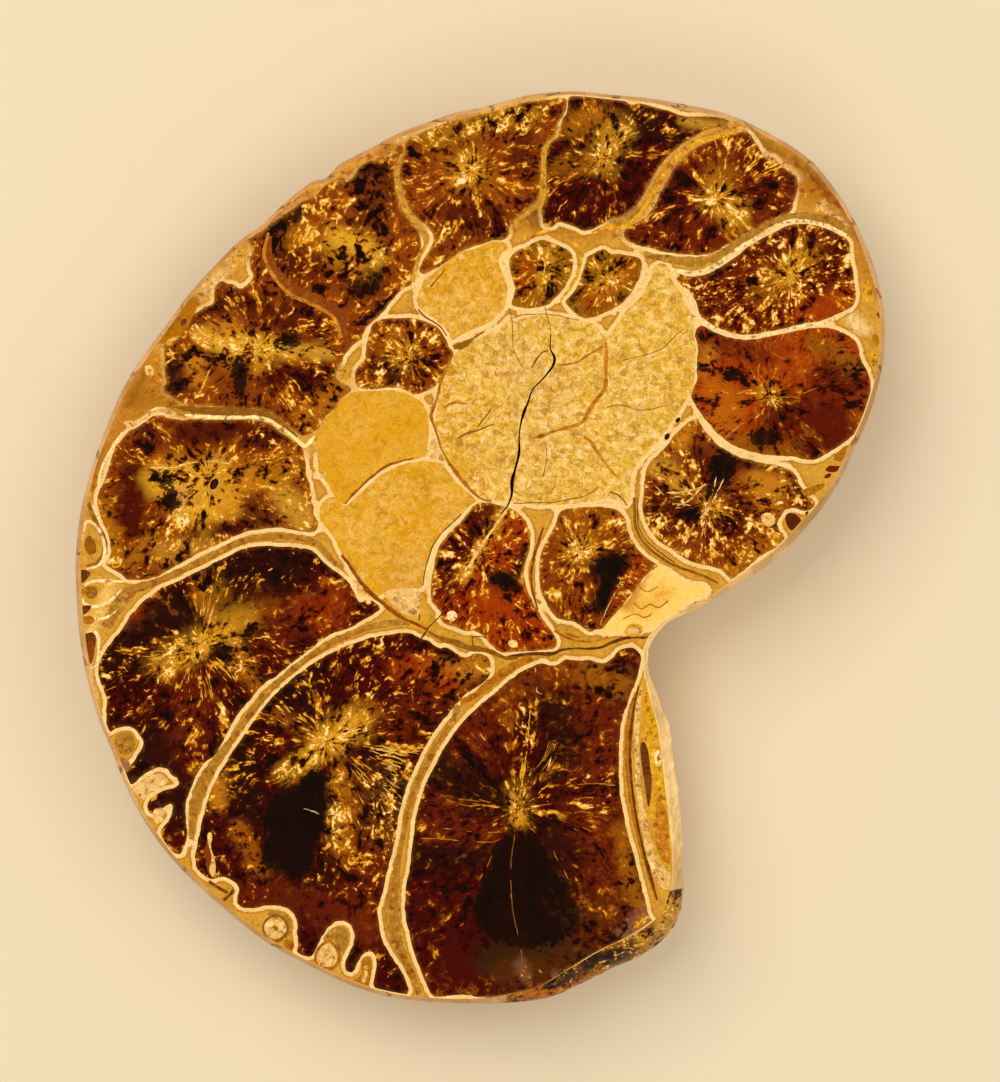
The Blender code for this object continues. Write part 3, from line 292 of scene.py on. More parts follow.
# Strokes: material, tone, width, path. A path point may carry its own width.
STROKES = [
    # olive and brown cores of the double walls
    ("core", "J", .75,
     "-2.6,-18.9,.8 -3.2,-20.6 -4.2,-22.2 -5.4,-24,.7 -6.4,-26 -7.4,-28 -8.1,-30,.8 -8.75,-32,.7 "
     "-9.1,-34,.6 -9.5,-36,.6 -9.9,-38,.8 -10.2,-40,1.2 -10.45,-42,1.5 -10.6,-43.7,1.6 "
     "-10.45,-45.2,1.7 -10.2,-46.6,1.6 -9.7,-48,1.3 -9.05,-49.5,1.1 -8.35,-51,.9 -7.7,-52.5,.8 "
     "-7.3,-53.6,.6"),
    ("core", "A", .8, "-2.4,-18.5 -1.2,-18.1 0,-17.3 1.5,-16,1 3,-14.9,1.1 4.5,-14,1.1 6.2,-13.2,.8"),
    ("core", "J", .85,
     "-8.4,-9.1,.5 -10,-9,.7 -12,-9.3 -14,-9.8 -16,-10.6 -18,-11.5 -20,-12.8 -22,-14.3 -24,-16 "
     "-25.5,-17.4 -26.8,-19,.8 -28.4,-21.2,.8 -30,-23.4,.9 -31.4,-25.3,1.2 -32.8,-27.4,1.4 "
     "-33.7,-29.4,1.6 -34.3,-31.2,1.3 -34.55,-33,.9 -34.7,-35,.5"),
    ("core", "L", .7,
     "-47,5.4,.5 -46.5,4,.6 -45.9,2.6,.6 -45.2,1.2,.6 -44.95,0,.6 -45.2,-1,.6 -46,-1.9,.5 -47.2,-2.2,.3"),
    ("core", "J", .75,
     "-44.9,-9.6,1.2 -43.6,-7.2,1.6 -42.2,-5.5,1.5 -40.6,-4.7,1.1 -39,-4.2,.9 -37,-3.3 -35,-2.4 "
     "-33,-1.5 -31,-.4 -29,.6 -27,1.1 -25,1.3 -23,1.3 -21,1 -19.6,.5 -18.7,-.3,.6 -17.8,-1.5,.6 "
     "-16.6,-2.3,.5"),
    ("core", "L", .8,
     "-36.9,16.9,.1 -35.6,16.7,.5 -33,16.4,.9 -30,16.3,1 -27,16.1,1 -25,15.6,.9 -23.4,14.3,.8 "
     "-22,13.2,.5"),
    ("core", "J", 1.0,
     "19.8,34.9,.5 21.5,34.8,.8 24,34.4,1 26,34.3,1.1 27.8,34.7,1.1 29.4,35.5,1 31,36.6,1 32.8,37.7,.9 "
     "34.6,38.7,.8 36.5,39.5,.9 38.5,39.8,.9 40.3,39.6,1 42,39.1,1.4 43.4,38.4,1.2 44.4,37.7,.8"),
    ("core", "L", .34,
     "18.5,6,.3 18.55,4,.35 18.75,2.3 19.3,1.1 20.2,0 21.4,-1 22.7,-1.8 24.2,-2.5 25.7,-3 27.2,-3.6 "
     "28.6,-4.3,.25"),
    ("core", "O", .12, "18.85,6 18.9,4 19.1,2.4 19.7,1.2 20.6,.2 22,-.9 23.4,-1.8"),
    ("core", "A", .75,
     "18.7,-17.6,.4 18.2,-19.5,.7 17.9,-21.5 17.75,-23.5 17.8,-25.5 17.9,-27.5,.8 18.1,-29.5,.8 "
     "18.4,-31.5,.7 18.8,-33.5,.6 19.2,-35.3,.55 19.7,-37.2,.5 20.2,-39,.5 20.8,-40.9,.5 21.2,-42.4,.3"),
    ("core", "D", .3,
     "19,-16.6,.2 18.45,-19.5 18.1,-22,.35 18,-25 18.15,-28 18.6,-31.5 19.1,-34 19.6,-36.2 "
     "20.2,-38.5,.4 20.9,-41 21.25,-42.3,.2"),
    ("core", "A", .22,
     "-3.2,-20.6 -5.4,-24 -7.4,-28 -8.75,-32 -9.5,-36 -10.4,-40 -10.7,-43.7 -10.4,-46.6 -9.1,-49.5 "
     "-7.9,-52.5"),
    ("core", "A", .2,
     "-12,-9.4 -16,-10.8 -20,-13 -24,-16.2 -26.8,-19.3 -30,-23.7 -32.8,-27.7 -34.3,-31.2 -34.8,-34"),
    ("core", "A", .2, "-42.2,-5.7 -39,-4.5 -35,-2.7 -31,-.7 -27,.9 -23,1.1 -19.8,.4"),
    # the outer lip on the aperture side: gold with a dark slot
    ("gold", "G", 1.5,
     "20,-16,.4 20.2,-18,1 20.5,-20.5,1.6 20.7,-23,1.9 20.9,-26,2 21.2,-29,2.1 21.5,-32,2 21.9,-35,1.7 "
     "22.3,-38,1.1 22.6,-39.4,.5"),
    ("shell", "C", .6,
     "19.4,-16.6,.2 18.95,-19.5 18.8,-22 18.85,-26 19.1,-29.5 19.7,-33,.8 20.4,-36.4,.9 21.4,-39.6,.8 "
     "22.2,-41,.3"),
    # brown lines in the wall round the inner whorls
    ("core", "D", .3,
     "3.3,-13.1,.2 5,-12.85,.4 7,-12.75,.45 9,-12.7,.4 9.8,-12.3,.3 11.4,-12.1,.25 13,-12.15 14.4,-12 "
     "15.6,-11.5,.35 17,-11,.4 18.6,-10.75 20,-10.8 21,-10.3 22.2,-9.5 23.2,-8.8,.2"),
    ("core", "L", .55,
     "-6.2,-10.1,.3 -4.8,-10.9,.5 -3.2,-11.3,.7 -1.6,-12,.7 0,-12.2,.6 1.6,-12.6,.5 3.2,-13.3,.4 "
     "4.6,-13.2,.3"),
    ("core", "B", .5,
     "-16.6,-.9,.3 -15.7,-2.1,.45 -14.9,-3.3,.5 -14.1,-4.4,.5 -13.1,-5.5,.5 -12,-6.4,.5 -11,-7.2,.5 "
     "-10,-8,.5 -8.8,-8.7,.4 -7.4,-9.3,.35 -6.2,-9.9,.3"),
    ("line", "D", .14, "-7.35,-5,.1 -7.4,-6.5 -7.3,-8 -7.25,-8.8"),
    ("line", "D", .14, "-6.9,-4.6 -6.6,-2.8 -6.1,-1 -5.6,.3 -4.7,1.6 -3.4,2.9 -2.2,4"),
    ("line", "D", .18, "-6.3,-9.7 -5.6,-9 -4.9,-8.3 -4.5,-7.9"),
    ("line", "D", .22, "-6.3,-9.9,.2 -6.8,-10.5 -7.1,-11,.2"),
    ("line", "D", .16, "-1,-10.7 -.9,-11.3 -.8,-11.8"), ("line", "D", .14, "-1,-10.8 0,-10.65 .8,-10.9"),
    ("core", "A", .3, "8.9,-10 10,-10.6 11.2,-11.1 12.8,-11.3 14.4,-11.1 15.4,-10.7"),
    ("core", "A", .35, "10.2,-10.3,.2 11.2,-10.6 12,-10.8,.2"),
    ("core", "B", .32, "7.6,2.4,.2 7,.6 6.5,-1 6.2,-2.8 6.2,-4.4 6.5,-6 7,-7.5,.15"),
    # veins and lines across the mud
    ("line", "Z", .46,
     "15.1,24.6,.3 15.15,23 15.1,21 15.05,19.6 14.7,18.6 13.8,17.5 13,16.3 12.4,15.2 11.6,14.7 "
     "10.2,14.3 8.8,13.9,.3 7.4,13.4 6,13,.12"),
    ("line", "A", .24, "14.8,24.1 13.8,23.6 12.7,22.9,.3 11.8,22.3 10.6,22 9.4,21.9,.15"),
    ("line", "Z", .36, "12.4,13.4,.3 13.3,12.7,.5 13.9,11.7,.4 14.6,10.7 15.3,9.7 16,8.9 16.8,8.2,.2"),
    ("line", "B", .1, "3.5,28.7 3.8,27.4 3.9,25.8 4,24 4.4,22.9 5.1,21.7"),
    ("line", "B", .1, "3.8,27.5 5.2,27.9 6.8,28 8.2,28 9.6,27.8 11.2,27.4 11.9,27.3"),
    ("line", "B", .11, "7.8,28.9 8,27.9 8.3,27 8.5,26"),
    ("line", "B", .1, "24.4,26.2 23.2,25.2 22.2,24.1 21,23.5 19.4,23 18,22.7 17.1,22.4"),
    ("line", "B", .1, "22.3,17.1 20.6,16.6 19,16.5 18,16.8 16.6,17.1 15.2,16.8"),
    ("line", "L", .22, "6.2,21.6 6.8,22.6 7.6,23.5 8.2,23.6"),
    ("line", "L", .2, "-.3,14.4,.1 .3,15.2 .9,16 1.4,16.8,.1"),
    ("line", "L", .18, "-2.6,13.1,.2 -1.6,13.7,.3 -.4,14 .8,14.5 1.7,14.8,.15"),
    ("line", "L", .12, "8,12 8,10.6 7.7,9.2 7.6,8.5"),
    ("line", "B", .12, "4,5.3 6,5.35 8.6,5.4 10.8,5.8 12.6,6.2 14,7,.1"),
    ("line", "D", .14, "15.6,6.7 16.6,6.3 17.3,5.6 17.7,5"),
    ("line", "A", .3,
     "-3.3,22.9,.2 -4.1,21.3 -4.7,19.8 -5.1,18.2 -5.5,16.8 -5.9,15.8,.4 -5.5,14.6,.3 -5.1,13.3 -4.7,12 "
     "-4.1,10.8 -3.2,9.4,.5 -2.2,8.1,.5 -1.2,7,.4 0,5.9,.3 1.4,5.5"),
    ("line", "L", .28,
     "-16.2,5.2,.15 -15.2,6.4 -14,7.6 -12.6,8.8,.35 -11.2,9.8,.3 -9.6,10.3 -8,10.7,.15"),
    ("line", "L", .3, "-3.2,24,.5 -2,24.3,.9 -.8,25.1,.3 .5,25.9,.15"),
    ("line", "D", .16, "-7.4,28.6 -6.5,27.6 -5.6,27.1 -4.6,26.3 -4,25.4"),
    ("line", "D", .14, "-5.9,31.3,.2 -5,32.4 -4.2,33.4,.1"),
    ("line", "A", .3, "-4.4,16.8,.1 -3,17.4 -1.6,17.2,.1"),
    # the wall between S and T
    ("gold", "G", .28, "10.7,36.9,.1 11.6,36.2 12.1,35 12,33.6 11.5,32.2 10.6,30.8 9.8,29.8,.1"),
    ("gold", "G", .35, "5,37,.1 6.4,37.4,.4 7.6,37.9,.3 8.6,38,.1"),
    # golden partitions E/F, F/G and G/H
    ("gold", "B", 1.1,
     "-25.2,37.4,.5 -25.5,35.2 -24.5,33.2 -22.5,31.1 -19.4,29.7 -16.9,28 -16.1,25.2,.6"),
    ("gold", "Z", .45, "-25.4,37.8,.3 -25.9,35.2 -25,32.9 -22.9,30.5 -19.8,29 -17.4,27.4 -16.7,25.1,.5"),
    # double wall H/I
    ("core", "G", .5,
     "17.4,38.7,.2 18.8,39.7,.5 19.9,41.1 20.8,42.7 21.7,44.2 22.6,45.6 23.7,46.9 25,47.9 26.6,48.8,.6 "
     "28.4,49.3 30.2,49.9 31.6,50.6,.3"),
    ("gold", "G", .6, "7.1,40.3,.3 7.5,42 7.55,44 7.6,46,.4 7.7,47.6 8.3,48.7,.2"),
    ("gold", "G", .5, "13.4,37.8,.2 15.2,38.5 17,38.6 18.6,38.3,.3"),
    # the dull edge above the broken rim
    ("line", "D", .7,
     "2,-54.1,.2 4,-53.8 6,-53.2 8,-52.5 10,-51.5 12,-50.3 14,-49.15 16,-48 17.6,-47,.2"),
    # swirls in the pale corner by the aperture
    ("line", "Z", .2, "18.4,-6.6 19.4,-7.4 20.4,-6.8 21.4,-7.2 22.6,-6.4"),
    ("line", "Z", .18, "17.2,-8.6 18.6,-8 19.8,-8.4 20.6,-8"),
    ("line", "Q", .22, "18.8,-4.4 20,-5.3 21.4,-4.7"),
    # cream loops along the left rim
    ("line", "W", .36, "-48,-2.7,.2 -47.9,.6 -47.1,3.2 -45.9,2.4 -45,-.2 -45.6,-2 -47.2,-2.6,.2"),
    ("line", "W", .34,
     "-42.8,-4.1,.2 -44.6,-4 -47,-4.2 -48,-5.4 -47.4,-6.8 -45.6,-7 -43.8,-5.9 -43,-4.9,.2"),
    ("line", "W", .34, "-47.3,-11.7,.2 -47,-10.3 -46,-10.3 -45.8,-12.5 -46.3,-14.6 -47,-14.2,.2"),
    ("line", "W", .3, "-46.7,5.6,.15 -46,3.9 -45.3,2.4,.15"),
    ("line", "W", .34, "-47.4,-8.2,.15 -46,-8.6 -44.6,-8.3 -43.4,-7.4,.15"),
    ("line", "W", .4, "-43,13.8,.2 -44.3,11.6 -45.4,9.4 -45.9,7,.2"),
]
# The open crack: x, y, width, and the pits: x, y, radii, turn, depth.
CRACK = (
    (8.5, 25.6, 0.14), (8.45, 23.8, 0.16), (8.95, 22.8, 0.32), (8.8, 21.9, 0.3),
    (7.5, 20.2, 0.18), (6.3, 18.9, 0.18), (5.75, 17.4, 0.2), (5.3, 16.3, 0.36),
    (4.9, 14.9, 0.2), (4.7, 13.3, 0.16), (4.7, 11.4, 0.32), (4.25, 9.5, 0.26),
    (3.85, 7.9, 0.46), (3.8, 6.3, 0.26), (3.3, 5.0, 0.18), (2.5, 4.0, 0.14),
)
PITS = (
    (-31.9, 7.6, 0.72, 0.46, 62.0, 0.9),
    (22.45, 13.3, 0.42, 0.3, 60.0, 0.6),
    (23.75, 15.3, 0.36, 0.24, 50.0, 0.6),
)
CRACK_DEPTH = 1.1           # where it is widest

# Small crisp pieces laid over the walls and chambers: material, tone, outline.
PATCHES = [
    # cream lobes and stripes at the lower left of B
    ("calcite", "B", "-33.1,-36 -32.9,-37.6 -32.6,-39 -32.3,-39.3 -32,-38 -32.2,-36.6 -32.6,-35.6"),
    ("shell", "S",
     "-32.4,-34.1 -32.1,-34.6 -32.3,-35.8 -31.9,-37.2 -31.7,-38.4 -32,-39.6 -32.5,-38.8 -32.2,-37.2 "
     "-32.6,-35.6 -32.7,-34.4"),
    ("line", "D",
     "-32.5,-39.9 -31.7,-40.4 -30.9,-40.9 -30.2,-41.3 -30.3,-41.6 -31.1,-41.2 -31.9,-40.7 -32.6,-40.2"),
    ("line", "D", "-29.7,-40.9 -30.1,-41.5 -30.7,-42 -31,-42.4 -30.7,-42.5 -30,-41.9 -29.5,-41.3"),
    ("calcite", "R",
     "-36.4,-37.8 -35.6,-38.2 -35,-39 -34.3,-39.7 -33.5,-40.4 -33,-41.2 -33.6,-41 -34.5,-40.2 "
     "-35.5,-39.3 -36.4,-38.5"),
    # loops along the lower rim
    ("gold", "J",
     "-25.3,-43.7 -23.9,-43.8 -22.9,-44.5 -22.6,-45.5 -22.9,-46.6 -23.8,-47.3 -25,-47.6 -25.4,-47.2 "
     "-24.3,-46.9 -23.5,-46.3 -23.3,-45.3 -23.8,-44.6 -25,-44.3 -25.6,-44"),
    ("gold", "A", "-23.5,-47.1 -22.8,-47 -22.3,-47.5 -22.5,-48.2 -23.1,-48.4 -23.6,-47.8"),
    ("gold", "J",
     "-18.9,-47.1 -18.4,-46.3 -17.6,-45.6 -16.7,-45.5 -16,-46 -15.8,-46.8 -16,-47.8 -16.4,-48.7 "
     "-16.9,-48.2 -17.2,-47.6 -17.7,-47 -18.4,-46.9"),
    ("gold", "L",
     "-26.2,-45.6 -25.6,-44.5 -24.4,-44 -23.4,-44.5 -22.9,-45.6 -23.3,-46.8 -24.4,-47.4 -25.5,-47"),
    ("shell", "C",
     "-25.9,-45.6 -25.4,-44.7 -24.4,-44.3 -23.6,-44.8 -23.2,-45.7 -23.6,-46.5 -24.5,-47 -25.4,-46.7"),
    ("line", "A", "-24.9,-45.6 -24.6,-45.3 -24.2,-45.6 -24.5,-46"),
    ("gold", "A",
     "-19.9,-48.9 -19.5,-48 -18.9,-47.4 -18.1,-47 -17.4,-47.5 -16.8,-48.4 -16.7,-49.3 -17.1,-50.3 "
     "-18,-50.8 -19.3,-50.6 -19.8,-49.9"),
    ("shell", "C",
     "-19.5,-48.9 -19.1,-48.1 -18.5,-47.6 -17.9,-47.6 -17.4,-48.2 -17.1,-49.1 -17.4,-50 -18.2,-50.3 "
     "-19.2,-50.1 -19.6,-49.6"),
    ("calcite", "R", "-19.3,-50.6 -18.3,-50.9 -17.4,-51.1 -17.6,-51.5 -18.7,-51.2 -19.5,-50.9"),
    ("gold", "A",
     "-14.3,-49.6 -13.6,-49.1 -13.1,-49.6 -13,-50.8 -13.2,-52 -13.7,-52.9 -14.9,-52.6 -15.3,-51.9 "
     "-14.6,-51.6 -14.2,-50.8"),
    ("shell", "S", "-13.9,-50.2 -13.5,-50 -13.5,-51.2 -13.8,-52.2 -14.2,-52.1 -13.9,-51.2"),
    # left rim
    ("gold", "B", "-47.3,.9 -46.7,1 -46.2,.5 -46.1,-.1 -46.6,-.7 -47.2,-.6 -46.8,-.1 -46.9,.4"),
    ("line", "D", "-48.2,-2.8 -47.3,-2.7 -46.7,-3.1 -47.2,-3.8 -47.9,-4.3 -48.3,-3.5"),
    ("gold", "A", "-47.9,-5.3 -47.2,-4.7 -46.3,-4.6 -45.8,-5.1 -46.3,-5.7 -47.3,-5.8"),
    ("line", "D", "-48.1,-7.3 -47.4,-6.95 -46.6,-7 -47.3,-7.9 -47.9,-8.1"),
    ("gold", "A", "-47.7,-8.4 -46.9,-8.2 -46.2,-8.6 -46.6,-9.2 -47.5,-9.1"),
    ("line", "D",
     "-47.6,-10.6 -46.9,-10.2 -46.3,-10.3 -46.1,-11 -46.2,-12 -46.5,-13 -46.9,-14 -47.2,-13.6 "
     "-47.2,-12.5 -47.5,-11.5"),
    ("line", "L", "-47,-15 -46.7,-15.6 -46.4,-17 -45.9,-19 -46.2,-19 -46.8,-17"),
    ("line", "D", "-46.4,11.9 -45.8,11.9 -45.6,11.3 -46.2,11.1"),
    ("line", "A", "-46.6,9.6 -46,8.8 -46.1,7.6 -46.5,6.6 -46.9,6.7 -46.6,8.2"),
    # lower left loops
    ("gold", "J",
     "-43.9,-22.9 -43,-22.3 -42,-22.4 -41.4,-23.2 -41.5,-24.2 -42.2,-24.9 -43,-24.8 -43.6,-24"),
    ("shell", "P", "-43.6,-25.2 -42.6,-25.3 -42,-26 -42.3,-26.9 -43,-27.1 -43.5,-26.2"),
    ("gold", "C",
     "-41.6,-28.6 -40.6,-28.2 -39.6,-27.4 -38.4,-27.2 -37.4,-27.9 -38.3,-28.9 -39.5,-29.5 -40.3,-30.3 "
     "-41,-30 -41.6,-29.3"),
    ("gold", "C", "-39.2,-31.6 -38.4,-31.2 -37.8,-31.6 -37.9,-32.4 -38.6,-33.2 -39.2,-32.6"),
    # upper left rim
    ("calcite", "A",
     "-38.7,24.9 -38.1,24.4 -37.3,25 -36.4,25.4 -35.3,26 -34.7,27.4 -34,28.6 -34.1,29.8 -34.9,30 "
     "-35.8,29 -36.9,27.5 -38,26"),
    ("line", "D", "-35.9,26.5 -35.3,26.9 -35.2,27.5 -35.8,27.3"),
    ("gold", "S", "-40.2,21.8 -39.6,21.9 -39.1,21.3 -39.3,20.6 -40,20.7"),
    ("shell", "C",
     "-42.6,15.2 -41.6,15.2 -40.4,15.8 -39.4,16.6 -38.3,16.9 -37.2,16.6 -36.4,16 -37.1,15.8 -38,16.2 "
     "-39,16.2 -40,15.5 -41.2,14.7 -42.4,14.2 -43,14.6"),
    # cream marks in the inner whorls
    ("shell", "C",
     "-11.6,-5.5 -10.8,-5.1 -9.3,-4.9 -8.2,-4.9 -7.3,-5 -7.25,-6.5 -7.4,-8.2 -8.4,-8.2 -9.4,-7.8 "
     "-10.2,-7.1 -11,-6.3"),
    ("shell", "C", "-18.8,9.3 -18.5,8.9 -18.6,8.4 -19,8.3 -19.2,8.8"),
    ("shell", "C", "-14.3,-3 -13.9,-3 -13.7,-3.4 -14,-3.7 -14.4,-3.4"),
    ("shell", "C", "-6.1,12.8 -5.3,12.8 -4.9,11.8 -4.2,10.3 -5,10.5 -6.4,10.5 -6.3,11.6"),
    ("shell", "W", "-3.9,-7.8 -3.2,-7.6 -2.7,-8.1 -2.9,-8.7 -3.6,-8.8 -4,-8.3"),
    ("shell", "C", "3.4,-11.3 4.2,-11.1 4.6,-11.6 4.1,-12 3.5,-11.8"),
    ("gold", "G", "17.4,-10.4 17.5,-9.7 18.1,-9.2 18.8,-9.1 19.4,-9.4 19.5,-10.1 19.2,-10.5 18.2,-10.7"),
    ("shell", "C", "17.8,-10.3 17.9,-9.8 18.5,-9.5 19.1,-9.7 19.1,-10.2 18.4,-10.4"),
    # walls of the aperture side
    ("shell", "C", "21.2,-25 21.5,-24.9 21.6,-25.6 21.5,-26.1 21.2,-26 21.1,-25.5"),
    ("shell", "S", "21.2,-36.8 21.7,-37.8 22.6,-38.7 23.3,-39.2 23,-40.8 22,-41 21.4,-39.8 21,-38.2"),
    # lower right rim
    ("gold", "A", "38.7,6.4 39.3,6.1 40.3,6.6 41.2,7.2 41.4,7.7 40.6,7.6 39.6,7.2 38.9,7"),
    ("calcite", "D", "36.7,3.9 36.7,2.9 37.2,2.2 38,2 38.5,2.6 38.4,3.5 37.8,4.1 37.2,4.2"),
    ("calcite", "D", "39,4.1 39.4,3.7 39.7,4 39.3,4.4"),
    ("calcite", "D", "41.3,8.4 41.7,8.3 42.2,8.8 41.8,8.9"),
    ("calcite", "R", "41.4,9.3 42.1,9 43.1,9.2 43.4,9.7 42.5,9.8 41.6,9.7"),
    ("gold", "A", "42.4,10.6 43.3,10.3 44.2,10.8 44.6,11.8 44.1,12.3 43.1,11.6"),
    ("gold", "S", "33.8,3.9 33.9,3 34.6,2.5 35.4,2.9 35.3,3.8 34.6,4.2"),
    # right rim
    ("gold", "G", "46,31.2 46,30.2 46.5,29.4 47.1,29.4 47.2,30.3 46.9,31.6 46.4,32.1"),
    ("line", "D", "47.6,28.1 48.3,28.2 48,27.4"),
    ("gold", "G", "46.9,23.2 46.8,22.3 47.2,21.7 47.7,22 47.8,22.9 47.4,23.4"),
    ("line", "D", "47.7,20.9 47.9,20.5 47.8,19.3 47.5,19.3 47.5,20.3"),
    ("gold", "A", "47.1,25.5 47.6,25.6 47.9,24.7 47.6,24.1 47.2,24.6"),
    ("shell", "Q", "-32.7,7 -32.3,8.1 -31.4,8.9 -30.8,8.4 -31,7.2 -31.6,6.5 -32.4,6.4"),
    # loops along the left rim
    ("gold", "L", "-47.4,.8 -46.9,1.5 -46.2,.6 -46.1,-.6 -46.8,-.9 -47.4,-.2"),
    ("gold", "L", "-47.3,-5.1 -46.6,-4.8 -45.9,-5.3 -46.2,-6 -47,-6.1"),
    ("gold", "B", "-46.9,-11 -46.4,-11.4 -46.3,-13 -46.7,-14 -47,-12.8"),
    # the outer lip
    ("gold", "Y", "19.7,-16.8 20.5,-18.6 21.2,-21.2 21.5,-22.8 20.6,-21.8 19.9,-19.6"),
    ("gold", "D",
     "19.3,-23.5 19.7,-23.3 20.2,-24.6 20.4,-26.2 20.6,-28 20.5,-30 20.2,-31.2 19.9,-29.4 19.6,-27.4 "
     "19.3,-25.2"),
    ("gold", "Z",
     "21.3,-30.2 22,-30.8 22.5,-32.6 22.7,-35.6 22.8,-38 22.2,-37.8 21.3,-36.4 21,-34 21.1,-32"),
    ("shell", "W", "21,-24.6 21.4,-24.3 21.8,-24.8 21.8,-25.8 21.4,-26.3 21,-25.8"),
    ("line", "A", "21.3,-25 21.5,-24.9 21.55,-25.6 21.35,-25.8"),
]

# Black hollows between the crystals: outlines.
HOLLOWS = [
    "4.2,-34 5.6,-34.4 6.9,-34.7 7.5,-35.8 8.7,-37.6 9.2,-39.2 10.4,-40.2 10.6,-42 12,-43.2 11.6,-44.9 "
    "10.4,-46.7 8.6,-47.6 6,-48 3.4,-47.8 1.4,-47 .4,-45.8 -.5,-43.7 -.2,-41.2 1.1,-38.4 2,-35.6 "
    "3.4,-34.6",
    "-20.7,-26.9 -19.2,-26.8 -18.3,-29.7 -18.5,-32.7 -19.7,-35.6 -20.8,-38.8 -22,-39.7 -23.6,-39.6 "
    "-26.2,-38 -26,-35.1 -26,-32.2 -24.6,-29.7 -23,-28.8 -21.8,-28",
    "-32.6,-11.4 -31,-10.8 -29.8,-12.2 -29.6,-14 -30.8,-13.6 -31.8,-12.6",
    "-38.5,8.3 -37.7,8.9 -36.9,8.6 -36.8,7.6 -37.5,7.1 -38.4,7.5",
    "-38.4,5.8 -37.4,6.8 -36.4,6.7 -36,5.6 -36.5,4.6 -37.4,4.2 -38.3,4.8",
    "-32.3,7.3 -31.8,8 -31.1,8.1 -30.9,7.5 -31.4,6.8 -32.1,6.7",
    "-29.9,20.6 -29.4,22.4 -28.4,23 -27.9,21.6 -28,19.4 -28.6,18 -29.6,18.4",
    "-24.8,24.4 -23.8,25.4 -22.4,25.6 -21.4,24.9 -22.2,24.1 -23.6,23.8",
    "-14.6,30.4 -13.4,31.8 -12.2,33 -11.8,32 -12.8,30.4",
    "32.4,13.8 33,14.2 34.2,14.4 35.2,14 35.9,13.2 35.2,12.5 33.8,12 32.6,12.6",
    "29.2,20.8 30.2,21.5 31.4,21.4 32,20.7 31,20.1 29.8,20.1",
    "29.3,11.4 30.6,10.8 30.8,9.4 30,7.9 28.9,6.9 27.7,5.9 27,6.4 27.8,7.8 27.2,9.2 28,10.6",
    "24.8,4.6 26,5.2 26.4,4.2 25.4,3.2 24.6,3.4",
    "1.8,-3.2 3,-3.2 4.2,-3.8 4.4,-4.5 3.2,-5 1.9,-4.8 1.4,-4",
    "13.8,-2 15.6,-1.4 17,-1.6 16.6,-3.2 15.6,-5.4 14.8,-7 14.2,-5.6 14.5,-3.6",
]
